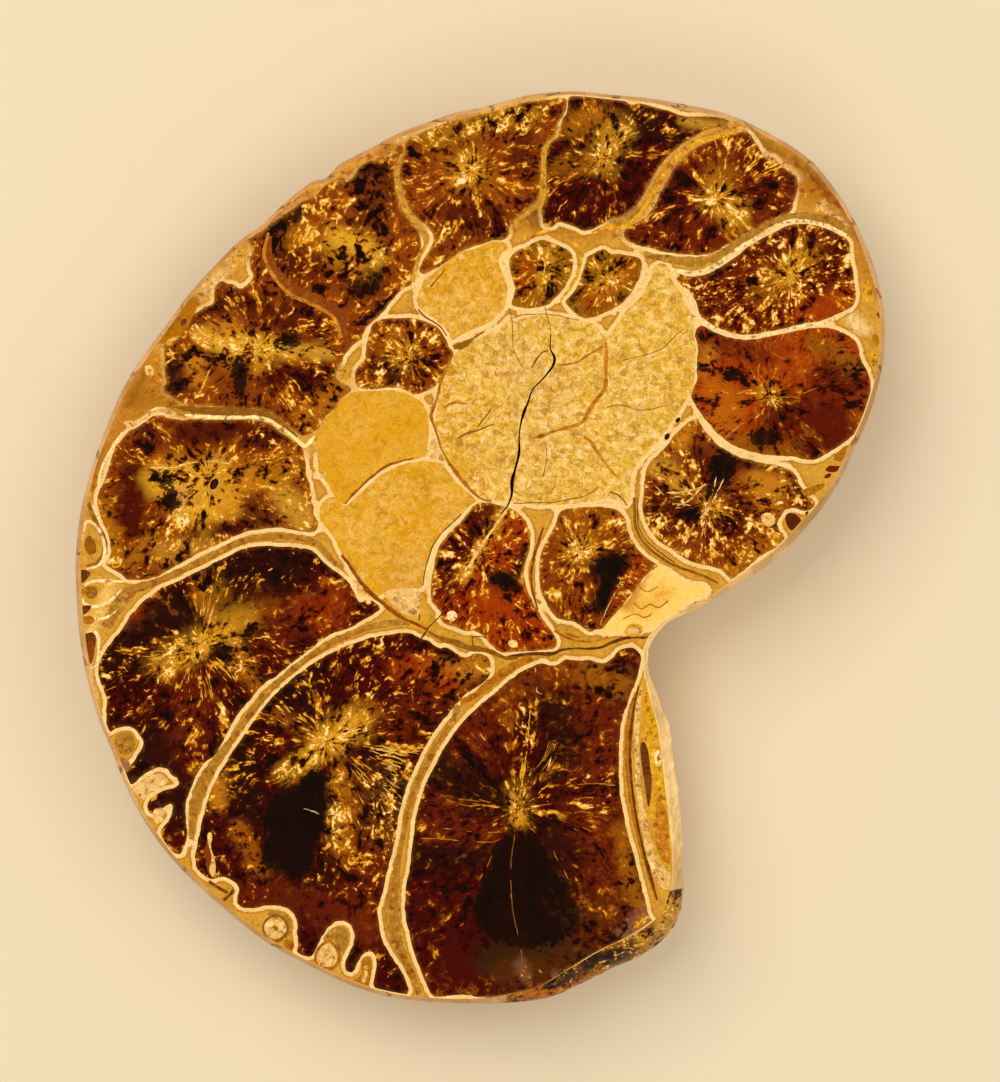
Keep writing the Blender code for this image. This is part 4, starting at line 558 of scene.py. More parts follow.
# Soft changes of tone in each region, with painted sheen and shadow along the lower lip among them: tone,
# strength, radius, path (one point is a round blot).
BRUSHES = {
    "A": [
        ("R", .8, 5.0, "13,-18 14.6,-26 14.6,-34 15,-42"), ("R", .7, 3.2, "4,-18 1,-21 -2,-26 -4,-32"),
        ("A", .5, 2.0, "13,-15 15.6,-15.6 16.6,-16.4"), ("B", .6, 1.6, "4,-17 8,-15 11,-14.8"),
        ("X", .8, 2.6, "6.6,-20 9.4,-19.6 10,-24 8,-27"), ("X", .85, 2.8, "-5,-26.6 -2,-28.4 1,-30"),
        ("X", .8, 2.2, "-7,-36.6 -3,-37 .6,-36.6"), ("X", .7, 2.4, "12,-44.6 8,-33.6 11,-37"),
        ("M", .8, 3.0, "-6,-44 -5,-50 0,-52"), ("O", .9, 2.6, "1.6,-49.4 6,-50 10.6,-48.4"),
        # The P strokes that run along the lower edge are painted sheen where the polished edge rounds
        # over.
        ("D", .6, 2.2, "3,-51.4 8,-50.6 13,-48"), ("P", .6, .6, "9,-51.6 12,-50.7 15,-49.4"),
        ("P", .9, .7, "14,-49.7 17,-48 19.6,-45.8 20.9,-43.8"), ("P", .5, 1.4, "17,-47 20,-44"),
        ("D", .7, 2.0, "13,-44.6 17,-42.4"), ("P", .4, .8, "4.8,-50 5.4,-51.6"),
        ("R", .8, 1.4, "-6,-34.4 -3,-34.5 1,-34.7"), ("A", .9, .8, "4.2,-30.6 4.8,-33"),
        ("A", .5, 1.2, "17,-33.8 17.6,-38 18.8,-42.4"),
    ],
    "B": [
        ("N", .45, 1.8, "-18.4,-24 -16.6,-21.6 -13.6,-20"),
        ("N", .4, 1.3, "-18.8,-23.6 -21.6,-21.4 -24.6,-19.8"),
        ("X", .85, 2.4, "-28,-27.4 -27.6,-31 -28.8,-22.4"),
        ("X", .8, 2.2, "-24,-17.6 -20,-16 -21.4,-19.4"), ("X", .85, 2.4, "-12.6,-24.4 -9.6,-27 -9.4,-31"),
        ("X", .7, 2.0, "-14.6,-34 -17.4,-38.6 -24,-43"), ("N", .6, 1.4, "-16.6,-27 -16,-31 -16.4,-37"),
        ("R", .7, 3.0, "-13,-36 -13.4,-40 -15,-44"), ("R", .7, 2.6, "-10,-22 -7,-19 -3,-17"),
        ("Z", .8, 1.1, "-31.4,-25.6 -31.6,-28 -31.4,-31"),
        ("Z", .75, 1.6, "-5.6,-14.6 -2.8,-15 .2,-14.2"), ("E", .8, 1.8, "-9.6,-14.4 -7,-14 -4,-16.4"),
        ("N", .5, 1.3, "-29,-33.8 -27.8,-36 -26.4,-38.6"), ("R", .6, 2.5, "-27,-41.6 -20,-42.4 -14,-46"),
        ("Y", .5, 1.4, "-20.6,-25 -18.4,-23.4 -15,-21.4"),
    ],
    "C": [
        ("E", .9, 2.2, "-42.2,-8.2 -40.4,-7"), ("X", .85, 3.0, "-44,-14 -42.6,-11.6 -38.6,-9.6"),
        ("X", .85, 2.4, "-38.6,-7.4 -36,-6.6 -34.6,-10"),
        ("X", .85, 2.6, "-30,-2.6 -26,-2 -22,-1.4 -27.6,-7"),
        ("E", .6, 2.2, "-21,-7.6 -18.6,-9 -17.6,-6"), ("N", .5, 1.0, "-34,-3.4 -33.4,-6.4 -32,-9"),
        ("N", .5, 1.0, "-29.8,-10.8 -28.4,-14 -26.8,-16.8"),
        ("N", .45, 1.2, "-38,-14.6 -34,-12.4 -30,-9.4 -25,-7"), ("X", .8, 3.0, "-38,-22 -40,-26 -36,-31"),
        ("R", .7, 3.0, "-34,-17 -35,-22"), ("R", .7, 3.0, "-26,-8 -24,-10"),
        ("Y", .4, 1.2, "-35.6,-13.4 -32,-10.6"),
    ],
    "D": [
        ("A", .7, 1.6, "-39.4,9.6 -35,10.2 -31,10 -27.8,9"),
        ("Q", .9, 1.7, "-38.6,7.6 -36,8.6 -33.4,8.4 -31.6,9.6"),
        ("S", .5, 1.0, "-38.8,8.4 -36,7.4 -34.4,5 -36,3.6"),
        ("Q", .8, 2.0, "-33.6,6.6 -33.8,4.6 -30.4,5"), ("Z", .8, 1.6, "-31,4.6 -28.8,7.2 -27,8.2"),
        ("Q", .8, 1.8, "-23.8,6.4 -22.2,4.8 -21,3.4"), ("A", .8, 2.0, "-25.4,8.4 -23,9.6"),
        ("M", .95, 2.2, "-41.6,2.4 -41.8,6 -41.4,8.4"), ("M", .8, 1.6, "-41,11 -39.4,14.4"),
        ("M", .85, 1.7, "-36,13.6 -32.6,13.8 -29,14 -25.4,12.8"),
        ("D", .8, 1.6, "-28,3 -25.6,3.6 -27.4,5"), ("M", .8, 1.4, "-34.4,1.4 -31,1.6 -28.6,2"),
        ("A", .8, 1.3, "-45.6,4.6 -44.6,2 -44,-.6"), ("A", .6, 1.2, "-42,-1.6 -39.4,1"),
        ("G", .5, 2.0, "-39,8 -36,8.6 -33,8 -30.6,6.4 -33.4,4"), ("Q", .5, 1.6, "-38,-.6 -34,0 -31,-.4"),
    ],
    "E": [
        ("Z", .85, 1.5, "-32.4,25.6 -30.4,26.6 -28.8,25"),
        ("Q", .9, 1.1, "-34,25.6 -31.4,24 -27,24.1 -23,23.6 -18.4,23.4"),
        ("X", .9, 1.6, "-37,22.4 -36.8,19.6 -35.6,18.2"), ("Z", .8, 1.5, "-34.4,22.6 -33.6,20.4"),
        ("M", .95, 1.8, "-25.2,20.4 -22,20.2 -18.8,20.8"), ("Z", .8, 1.0, "-26.6,21.6"),
        ("D", .8, 1.2, "-32,23.6"), ("B", .7, 1.4, "-35,17.6 -30,17.4 -25,17.2"),
        ("M", .8, 1.8, "-22,28.6 -24.6,27.4 -19.4,26.6"),
        ("M", .8, 1.6, "-33.6,28.4 -29.6,29.6 -26.4,29"), ("A", .7, 1.6, "-16,20.6 -18,17.6 -21,15.8"),
        ("Q", .8, 1.4, "-17.6,37.4 -15,36.4 -12.6,34.8"), ("A", .6, 1.8, "-24,36.6 -21.4,37.8"),
        ("X", .9, 1.4, "-15,31 -13,31.6 -12.6,33"), ("X", .9, 1.2, "-21.6,40.6 -24.6,38"),
        ("M", .8, 2.2, "-20.4,34 -23,35"), ("D", .8, 2.0, "-13.8,39.8 -11,43"),
        ("X", .8, 1.8, "-14,46 -11,46.4"),
    ],
    "G": [
        ("A", .4, 2.0, "-3.4,46.6 .4,44"), ("L", .8, 1.8, "-6,49.4 0,51.4 6,52.6"),
        ("M", .8, 2.2, "-3,40 1.4,39.2"), ("M", .7, 1.6, "4.8,46 5.4,49.4"),
    ],
    "H": [
        ("A", .4, 1.5, "14.6,46.6 15.6,48.8"), ("A", .44, 1.4, "9.4,45.8 12.4,45.8"),
        ("X", .8, 2.0, "19,51 22,50 25,49"), ("Q", .8, .7, "24.6,51.2 27.6,50.8 30,50.4"),
        ("A", .6, 1.8, "11,50.6 14,51.6"),
    ],
    "I": [
        ("A", .5, 2.24, "28.3,42 29,44.6"), ("A", .44, 1.68, "29.6,40.6 31.4,39.2"),
        ("M", .8, 2.2, "23.4,40.4 24.6,43.4"), ("M", .8, 2.0, "33.6,43 33,46"),
    ],
    "J": [
        ("A", .44, 2.24, "34,31.4 37,33 39.4,35.6"), ("E", .9, 2.0, "38.6,28.2 41.6,28.6 44,30"),
        ("M", .6, 1.4, "42,33.5 43,36"),
    ],
    "K": [
        ("M", .85, 3.4, "36.6,15.6 40,16 43.4,14.6 40,12.6"), ("M", .8, 2.4, "41.6,20.6 44.6,19.6"),
        ("R", .8, 2.0, "26.8,24.8 31,24.4 34,23.4"), ("N", .6, 2.0, "28,19 30.4,17 28.6,14.6"),
        ("L", .6, 1.4, "30.8,12.8 33.6,11.6 37.4,11.4"), ("L", .7, 1.4, "40,24.6 43,23.4 44.6,22"),
        ("Z", .6, 1.1, "26.8,21.6 27.4,23.4"), ("B", .7, 1.2, "45.8,18 45,15.6"),
        ("A", .6, 1.2, "33.6,18.8 35,18.6"),
    ],
    "L": [
        ("Z", .9, 1.9, "33.6,8.4 35.6,7.6 34.4,6.2"), ("M", .9, .9, "37.6,9 38.2,7.4 38.4,5.6"),
        ("M", .8, .9, "31,10.2 34,9.9 36.4,9.6"), ("Z", .9, 1.2, "24.4,14 24,12.6"),
        ("Q", .7, 1.3, "20.4,10 22.6,9.4 24,7.4"), ("A", .6, 1.4, "30.6,-2.6 35.8,.8"),
        ("M", .8, 1.8, "26,10.6 28.4,8.6"), ("M", .8, 1.8, "21.6,3 25,3.4 22,5.4"),
        ("M", .7, 1.6, "31,5.4 31.6,2.4 28,1.4"),
    ],
    "Mi": [
        ("A", .5, 1.96, "11.4,-.4 12.8,-.2"), ("K", .95, 1.5, "14,-2.6 16.8,-1.4 16,-4 14.4,-7"),
        ("E", .8, .9, "19.6,-1.4 18.4,-3.4 16.4,-6.4"), ("A", .33, 1.96, "10.4,3 14,3.8"),
    ],
    "N": [
        ("X", .9, 1.4, "2,-3.8 4,-4.2 5.6,-1"), ("M", .85, 2.0, "-4,-4.6 -3.4,-1 1,5"),
        ("E", .8, 1.5, "1,-7 3.4,-8.4 -1.6,-8.4"), ("Z", .6, .9, "3.5,5 2,3 0,0 -1.8,-3.4"),
    ],
    "Om": [
        ("Y", .8, 5.5, "-10,6 -8,1 -8.6,-4 -9,-7"), ("Z", .35, 2.6, "-8.4,-3 -9,-7"),
    ],
    "U": [
        ("S", .55, 3.6, "3,24 7,20 9,16 6,10"), ("S", .4, 2.2, "19,20 18,14"),
        ("Y", .5, 1.8, "-3.8,20 -4.6,15 -3,10.4 0,7.4"), ("Y", .5, 1.6, "17,31 19.4,29.4 21.6,27"),
    ],
    "Q": [
        ("A", .44, 2.1, "-8.6,22.8 -10.4,24.4"), ("K", .7, 1.4, "-12.4,21.6 -10,20.6"),
    ],
    "Si": [
        ("A", .44, .98, "8.3,36 7.8,33.4 7.4,31.2"), ("E", .7, 1.6, "5.2,31.4 5.6,34"),
    ],
    "Ti": [
        ("A", .39, 1.4, "14.2,31 16.4,32.4"), ("E", .7, 1.4, "13.4,29.4 17.6,33.4"),
    ],
    "shell": [
        ("Z", .95, 1.7, "-27,37.4 -22.6,41 -19,43.4 -14,46.6 -8,49.2 -2,51.6"),
        ("Z", .9, 2.4, "-45,11 -43.4,15 -41.6,18.4 -39.6,21.8"),
        ("A", .9, 1.8, "-41,18 -38.6,18 -36.6,17.6 -34,17.4"), ("A", .9, 1.6, "-46.8,9 -46,12"),
        ("L", .6, 1.2, "-38.6,25.4 -35,29.6"), ("L", .85, 1.3, "7.4,39 7.6,44 8,48.6"),
        ("Z", .8, 1.3, "-9.6,46 -9.8,42 -7.6,38"), ("Q", .7, 1.4, "-7.8,33 -6.6,36.4 -2,37.6 3,37.4"),
        ("Z", .8, 1.4, "19,39.6 22,45 26,48.4 30,50"),
        ("Z", .9, 2.2, "35,43.4 38.4,43.6 42,41.6 44.4,38.6"), ("A", .8, 2.0, "36,46.8 40,44.6 43.4,41"),
        ("Z", .8, 1.0, "45.6,35 46.8,32.6 47.4,30.6"), ("Z", .6, 1.0, "1,37.6 6,38.6 12,37.4 16,38.6"),
        ("G", .8, 1.6, "-14.6,-2.4 -11.6,-5.8 -7.4,-8.4"),
        ("Q", .6, 1.6, "-4,-11 1,-12 6,-12.6 12,-12 18,-11"),
        ("G", .7, 1.2, "15.6,25.6 15.2,22 14.8,18.8"), ("Q", .6, 1.6, "-17.6,20 -15.6,24 -13,27"),
        ("G", .8, 1.4, "19.8,-16.6 20.6,-20 21.2,-24 21.6,-30 22.4,-36"), ("L", .8, .6, "33,49.6 36,47"),
        ("C", .9, .7, "34.6,46.8 38,44.4"), ("B", .8, .5, "40,44.4 42.6,41.4"),
        ("C", .8, .6, "41,41 43.6,38.6"), ("B", .7, .5, "44.6,39 46.2,36"),
        ("L", .8, .5, "37.6,46.6 41.4,43.6"), ("B", .7, .6, "-37,26 -34,29.6"),
        ("C", .8, .7, "-33,30.8 -30,33.6"), ("L", .8, .5, "-28,37 -24,40"),
        ("G", .7, .6, "-20,43.4 -14,46.8"), ("C", .6, .6, "-10,49 -4,51"),
        ("L", .7, .5, "-42.4,17 -40,21.4"), ("T", .8, .8, "-44.4,-4.6 -46,-8.6 -46.6,-10"),
        ("Q", .8, 1.0, "43.4,14 45.4,19 46.6,24"), ("W", .8, .8, "44.6,27.6 46,26"),
        ("L", .9, 1.3, "3,40.4 6,40 10,39.4 14,40 18,40.6"),
        # Along the lower lip: X is painted shadow where the face falls away to the broken rim, and P is
        # painted sheen on the rounded polished edge.
        ("D", .95, .7, "1,-54.4 4,-53.9 8,-52.6 10,-51.7"),
        ("X", .9, .7, "9.6,-51.9 12,-50.6 16,-48.3 19,-46.9"),
        ("P", .9, .6, "18.4,-47.4 21,-46.6 24,-46.2"), ("A", .7, .9, "-28,17.4 -25,16.4 -22.4,14.4"),
        ("C", .8, .5, "-46.6,-13 -46.4,-18"), ("L", .7, .5, "-46,12.6 -44.4,16.4"),
        ("D", .6, .4, "-47,8 -45.6,12"),
    ],
    "Mc": [
        ("Z", .9, 1.2, "17.6,-6.6 18.8,-3.6 20,-1.6"), ("G", .6, 1.4, "19.4,-7.6 22,-5.4"),
    ],
    "outside": [
        ("W", .95, 7.0, "24,-13 25,-20 26.6,-28 27,-36"), ("W", .5, 5.0, "30,-7 38,-3"),
        ("Z", .5, 4.0, "-30,37 -20,46 -8,52"),
    ],
    "break": [
        ("A", .9, 1.7, "3,-54.4 8,-54 12,-53 15,-51.8 18,-50.8"), ("N", .7, 1.0, "5,-54 9,-53.6 13,-52"),
        # The dark X and K strokes are dark broken calcite, deepened with painted shadow under the lip.
        ("X", .9, .9, "9.6,-52.6 13,-50.6 16,-48.8 18.6,-47.3"),
        ("K", .9, 1.0, "15.4,-50 18,-48.6 18.8,-47.8"), ("Q", .9, 1.6, "20.4,-47.4 22,-46 23,-44"),
        ("Q", .95, 2.2, "24.4,-44 24.4,-41"), ("A", .7, 1.0, "24.6,-46.6 25,-44"),
        ("G", .7, .9, "21.4,-45 22.4,-43"),
    ],
}
# Thin bright veins in the crystal, and one painted glint along a scratch: tone, width, how broken (0 to
# 1), path.
VEINS = [
    # A
    ("G", .14, .35, "6.1,-18.8 5.8,-22 5.5,-25 5.2,-27.4 4.5,-28.6"),
    ("A", .14, .35, "5.6,-22 5.1,-24.6 4.6,-26.6 4.2,-28"),
    ("S", .1, .4, "6.6,-14.4 6.8,-16 6.85,-17.3 7.5,-17.6"),
    ("W", .1, .5, "10.8,-19.2 9.5,-22.3 8.3,-26 7.2,-28.4"),
    ("A", .13, .45, "5,-29 7.5,-28.5 10.5,-28.6 13.5,-28.3 16.6,-28.6"),
    ("A", .13, .3, "-7.1,-34.9 -4,-35 -1,-35.3 2,-35.2 3.4,-34"),
    ("A", .12, .35, "-4.5,-33.7 -1.6,-34 .6,-34.2 2.8,-34.1"),
    ("A", .11, .5, "6,-33.6 7,-34.5 8.5,-36 9.3,-37.5 10.3,-39.2 11.2,-41.5"),
    ("L", .1, .3, "4.2,-34.4 3.8,-37 3.7,-40 4,-44 4.8,-47.4 5.2,-50"),
    ("L", .11, .45, "1.7,-36 1,-38 .2,-39.3 -.5,-41 -.5,-43.4 0,-45.4"),
    ("A", .1, .4, "-6.5,-49.2 -5.4,-48.7 -4.5,-48.3"),
    # B
    # the first is a painted glint where a scratch in the polish catches the light
    ("C", .1, .3, "-21.8,-31.2 -20.4,-31.5 -19.3,-32"), ("S", .1, .3, "-11.5,-24.2 -10,-24.7 -8.8,-25.1"),
    # C
    ("A", .14, .4, "-45,-17.2 -42,-16 -40,-15.2 -36,-13 -33.5,-11.5 -30,-9 -25,-7"),
    # F
    ("C", .14, .2, "-16.9,40.4 -17.2,39 -17.2,37.8"),
    ("G", .16, .3, "-13.6,33.6 -12,35.4 -15,36.6 -17.6,37.4"),
    # E
    ("S", .2, .2, "-34.6,27.4 -33.4,25.8 -31.6,24.6 -30,24"),
    ("G", .2, .3, "-33.6,18.4 -33,20 -32.4,21.4"),
    ("T", .18, .3, "-26,23.6 -24.4,24.4 -24,25.6 -23.4,26.6"),
    # D
    ("S", .16, .3, "-43.2,14 -44.4,11.6 -45.2,9.4 -45.8,7"),
    ("T", .16, .3, "-39.6,9.6 -37,9.6 -34.6,10.2 -32,10.4 -30,10"),
    # K
    ("N", .12, .3, "34.3,18.5 33.6,19.8 33.4,21.4 33.7,22.4"),
    ("A", .1, .3, "34,18.3 35.6,18 37.8,18.2 40.6,19.2"), ("A", .1, .35, "34.2,18.1 34.8,16.4 35.2,15"),
    ("Q", .1, .35, "33.6,18.6 32,18.8 30.4,18.4 28.8,18.8"),
    ("Q", .12, .5, "33.6,15.2 31.8,15 30.6,14.2 29.4,13.2"),
    ("A", .1, .4, "35,23.4 36.8,22.4 38.8,20.8 39,19.4"),
    ("N", .1, .5, "37.6,25.4 38.4,25 39.2,24.4 40,23.6"),
    ("A", .1, .5, "29.6,22.6 31.6,22.4 33.6,22.2 36,22.8"),
    # L
    ("S", .18, .2, "22.4,6.6 24,6.6 25.8,7 27.2,7.6"), ("S", .18, .2, "23.6,5 25,5.6 26.4,7 27.6,8.4"),
    ("S", .3, .2, "27.6,5 27,4 26.2,3.4 25.6,2.2"), ("S", .16, .3, "21,7.4 22.6,6 24.2,6.2"),
    ("S", .16, .3, "20,3.4 22,4.4 23.6,5.4"),
    # M and N
    ("S", .1, .4, "17.6,-2.2 16.8,-4.2 15.6,-6.6 14.4,-9.2"),
    ("S", .3, .2, "3.5,5 2.7,3.9 1.9,2.7 1,1.4 0,0 -.9,-1.6 -1.9,-3.6"),
    # the middle of S and T
    ("G", .2, .3, "8.3,36 7.9,34.5 7.7,33 7.4,31"),
]

# Bright partitions: tone, width, path.
WHITE_LINES = [
    ("W", .3,
     "24.9,27.6,.2 25.8,27.8 27,27 29,26 31,25.35,.35 33,25.3 35,25.7 37,26.2 39,26.65 41,26.9 "
     "43,27.5,.2"),
    ("W", .5,
     "22.9,33.5,.3 24,33.15 25.8,33 27,33.3 28.5,34 30,35 31.5,36.2 33,37 34.5,38 36,38.8 37.5,39.2 "
     "39,39.15 41,38.75 42.5,38.2 44,37.5,.3"),
    ("Q", .5,
     "-9.4,47.2,.3 -10,45 -9.85,43.3 -9.4,41.5 -8.4,39.8 -7.5,38.6 -6.7,37.6,.7 -6.5,36.5 -7.2,35 "
     "-7.7,33.3 -8,31.8,.3"),
    ("Q", .4, "8.7,49,.2 8,48.1 7.75,46.5 7.65,43 6.9,41 5.9,40.2 4.7,39.4 3.8,38.2,.3"),
    ("W", .4,
     "-35.4,15.9,.2 -33,15.7 -30,15.6 -27,15.65 -25.4,15.3 -23.9,14.4 -21.9,12.9 -21.1,12.2,.5 "
     "-19.8,13.4,.3"),
]

# Fans of straight needles: tone, width, middle x, y, heading and spread in degrees, where
# they start and end (mm from the middle), how many.
FANS = [
    ("G", .14, -18.2, -23, 24, 26, .3, 7, 16), ("W", .1, -18.2, -23, 24, 20, .3, 5, 6),
    ("G", .14, -18.2, -23, 228, 26, .3, 5, 12), ("W", .1, -18.2, -23, 228, 18, .3, 4, 4),
    ("Q", .12, -18.2, -23, 152, 24, .5, 8.5, 12), ("Q", .1, -18.2, -23, -32, 56, 4, 12.5, 26),
    ("T", .08, -18.2, -23, -28, 46, 4, 12, 12), ("G", .13, -33.6, -12, 82, 34, .5, 8, 12),
    ("W", .09, -33.6, -12, 80, 24, .5, 6, 5), ("G", .13, -33.6, -12, 28, 28, .5, 9, 12),
    ("Q", .12, -33.6, -12, 192, 14, 1, 8, 8), ("G", .13, -33.6, -12, -45, 22, .5, 6, 10),
    ("Q", .1, -33.6, -12, -95, 70, 1.5, 9, 14), ("G", .12, 4.6, -31, 86, 12, .5, 8, 7),
    ("A", .1, 4.6, -31, 55, 30, 2, 10, 8), ("A", .1, 4.6, -31, -8, 36, 2, 11, 12),
    ("A", .1, 4.6, -31, 165, 40, 2, 8, 8), ("W", .1, 27.5, 4.8, 62, 44, .3, 4.5, 7),
    ("T", .1, 27.5, 4.8, 180, 36, .3, 5, 9), ("T", .1, 27.5, 4.8, -100, 44, .3, 4.5, 7),
    ("Q", .1, 27.5, 4.8, -5, 50, .5, 5, 7), ("T", .1, 28.4, 41.8, 82, 26, .3, 3.4, 5),
    ("T", .1, 28.4, 41.8, -50, 34, .3, 4, 6), ("T", .1, 12, -.4, -20, 320, .3, 3, 14),
    ("T", .1, 36.8, 33, 120, 300, .4, 4, 14),
]

# Where golden and cream needles crowd together in each region: density, radius, path.
SPARKS = {
    "A": [
        (1.0, .7, "4.2,-29.8 4.6,-32.6"), (.62, 1.7, "4.4,-29 4.6,-32.4"), (.05, 4.0, "4.6,-38 5.2,-44"),
        (.05, 3.0, "-4,-50 8,-49"), (.45, 3.0, "8,-30 15,-29"), (.5, 1.4, "5.6,-20 5.3,-27"),
    ],
    "B": [
        (1.0, 1.6, "-18.4,-24"), (.8, 2.6, "-17.4,-22.4 -15,-21"), (.75, 1.6, "-20,-25.4 -23.4,-27"),
        (.6, 1.4, "-17.4,-28 -17.4,-35"), (.02, 3.0, "-22.4,-31 -22.6,-37"),
        (.1, 3.0, "-10,-47 -26,-41.8"), (.55, 3.0, "-12,-29 -11,-34"), (.3, 3.0, "-27,-30"),
    ],
    "C": [
        (1.0, 1.1, "-34.4,-13 -32.6,-11"), (.75, 2.0, "-38,-14 -33,-11 -28,-8.4"),
        (.6, 2.0, "-32,-5 -29,-14"), (.1, 3.0, "-38,-24 -36,-30"), (.15, 2.5, "-42,-9 -17,-6"),
    ],
    "D": [
        (.9, 1.5, "-39,8.4 -36,8.6 -33,8 -31,8.6"), (.8, 1.6, "-36,4 -33,4.6"),
        (.5, 2.4, "-29,10 -25,11.4 -23,9"), (.5, 1.4, "-39,1.6 -35,1.6"), (.1, 2.4, "-42,3 -41,8"),
        (.1, 1.6, "-36,14 -29,14"),
    ],
    "E": [
        (1.0, 1.1, "-33,25 -30,24.2 -25,23.8"), (.8, 2.2, "-30,24 -26,24"), (1.0, 1.0, "-17,37.2 -14,36"),
        (.75, 2.4, "-17,36 -13,35"), (.15, 2.0, "-36,20 -28.8,19.6"), (.4, 4.0, "-20,33 -14,42"),
    ],
    "G": [
        (1.0, .9, "-1.6,45.4 -.6,44.8"), (.85, 2.4, "-1.4,45.4"), (.6, 2.0, "-6,50 6,52"),
    ],
    "H": [
        (1.0, .9, "14.8,46.8"), (.8, 2.4, "14.8,47 16,49.6"), (.2, 2.5, "18,43"),
    ],
    "I": [
        (1.0, .8, "28.2,41.8"), (.8, 2.2, "28.4,42 30.6,40"),
    ],
    "J": [
        (1.0, 1.3, "36.6,32.6 38.2,34.4"), (.15, 2.0, "42,28.6"),
    ],
    "K": [
        (.9, .9, "34.4,18.4"), (.55, 2.4, "34.6,18.6"), (.05, 3.0, "42,15.6"),
    ],
    "L": [
        (.8, 1.2, "27.4,5.6 28.4,4.4"), (.1, 1.2, "35,8 25,13"),
    ],
    "Mi": [
        (1.0, .8, "12,-.4"), (.8, 1.8, "12,-.4"), (.05, 1.4, "14.6,-3 15,-7"),
    ],
    "N": [
        (.8, .8, "3.5,5 0,0 -1.8,-3.4"), (.1, 1.4, "3,-4 1,-8"),
    ],
    "Q": [
        (1.0, .8, "-8.5,22.7"), (.8, 1.8, "-9,23"),
    ],
    "Si": [
        (.8, 1.0, "8,35 7.6,31.4"),
    ],
    "Ti": [
        (.8, 1.2, "14.4,31.2 16.4,32.4"),
    ],
}

# Where the older walls have no cream lines: radius, path.
SOFT_WALLS = [
    (3.0, "-37,29 -31,35 -25,40 -18,45 -10,50 -2,52.6 6,54.4"), (2.6, "-9.6,48 -10,44 -8,39.6"),
    (2.6, "8,49.6 7.6,44 5,40"), (2.2, "-20.6,13 -17.6,17 -17,20"), (2.4, "17,39 21,44 25,48.4 30,50.6"),
    (2.6, "-36,25 -38,20 -36,17.6 -30,16.8 -24,16 -21.6,14"), (2.0, "34,46 39,44 43,40"),
    (1.2, "1,-54.4 8,-52.6 12,-50.6 16,-48.3 24,-46.2"),
]
def smooth(value):
    """Ease from 0 to 1."""
    value = np.clip(value, 0.0, 1.0)
    return value * value * (3.0 - 2.0 * value)


def numbers(text):
    """Rows of numbers from 'x,y x,y,width ...'; a width is kept where it is given."""
    return [[float(v) for v in row.split(",")] for row in text.split()]


def spline(rows, closed, steps=8):
    """Smooth line through the rows (centripetal Catmull-Rom)."""
    rows = np.array(rows, dtype=float)
    count = len(rows)
    if not closed:
        rows = np.vstack([2 * rows[0] - rows[1], rows, 2 * rows[-1] - rows[-2]])
    line = []
    for k in range(count if closed else count - 1):
        if closed:
            a, b, c, d = (rows[(k + j - 1) % count] for j in range(4))
        else:
            a, b, c, d = rows[k:k + 4]
        t1 = max(math.dist(a[:2], b[:2]) ** 0.5, 1e-4)
        t2 = t1 + max(math.dist(b[:2], c[:2]) ** 0.5, 1e-4)
        t3 = t2 + max(math.dist(c[:2], d[:2]) ** 0.5, 1e-4)
        for step in range(steps):
            t = t1 + (t2 - t1) * step / steps
            ab = a * (t1 - t) / t1 + b * t / t1
            bc = b * (t2 - t) / (t2 - t1) + c * (t - t1) / (t2 - t1)
            cd = c * (t3 - t) / (t3 - t2) + d * (t - t2) / (t3 - t2)
            abc = ab * (t2 - t) / t2 + bc * t / t2
            bcd = bc * (t3 - t) / (t3 - t1) + cd * (t - t1) / (t3 - t1)
            line.append(abc * (t2 - t) / (t2 - t1) + bcd * (t - t1) / (t2 - t1))
    if not closed:
        line.append(rows[-2])
    return np.array(line)


def evenly(line, closed, spacing=None, count=None):
    """Resample a line at equal steps along its length."""
    if closed:
        line = np.vstack([line, line[:1]])
    length = np.concatenate([[0.0], np.cumsum(np.hypot(*np.diff(line[:, :2], axis=0).T))])
    if count is None:
        count = max(int(round(length[-1] / spacing)), 4)
    at = np.linspace(0.0, length[-1], count, endpoint=not closed)
    return np.column_stack([np.interp(at, length, line[:, k]) for k in range(line.shape[1])])


def left_of(points, closed=True):
    """Unit directions to the left of a line, in the plane."""
    if closed:
        along = np.roll(points[:, :2], -1, axis=0) - np.roll(points[:, :2], 1, axis=0)
    else:
        along = np.gradient(points[:, :2], axis=0)
    normal = np.column_stack([-along[:, 1], along[:, 0]])
    return normal / np.maximum(np.linalg.norm(normal, axis=1), 1e-9)[:, None]


def rumple(points, fineness, seed):
    """Noise between -1 and 1 at each point."""
    return np.array([noise.noise(Vector((x * fineness, y * fineness, seed))) for x, y in points[:, :2]])


def outline(text):
    """Closed outline in equal steps."""
    return evenly(spline(numbers(text), True), True, OUTLINE_STEP)


def wobble(points):
    """A slightly ragged copy of an outline."""
    push = 0.10 * rumple(points, 1.1, 4.0) + 0.07 * rumple(points, 3.7, 9.0)
    return points + left_of(points) * push[:, None]


def inside(points, loop):
    """Which points lie inside a closed loop."""
    found = np.zeros(len(points), dtype=bool)
    low, high = loop.min(axis=0), loop.max(axis=0)
    near = np.nonzero(np.all((points >= low) & (points <= high), axis=1))[0]
    if not len(near):
        return found
    x, y = points[near].T
    odd = np.zeros(len(near), dtype=bool)
    for (ax, ay), (bx, by) in zip(loop, np.roll(loop, -1, axis=0)):
        if ay != by:
            crosses = (ay > y) != (by > y)
            odd ^= crosses & (x < (bx - ax) * (y - ay) / (by - ay) + ax)
    found[near] = odd
    return found


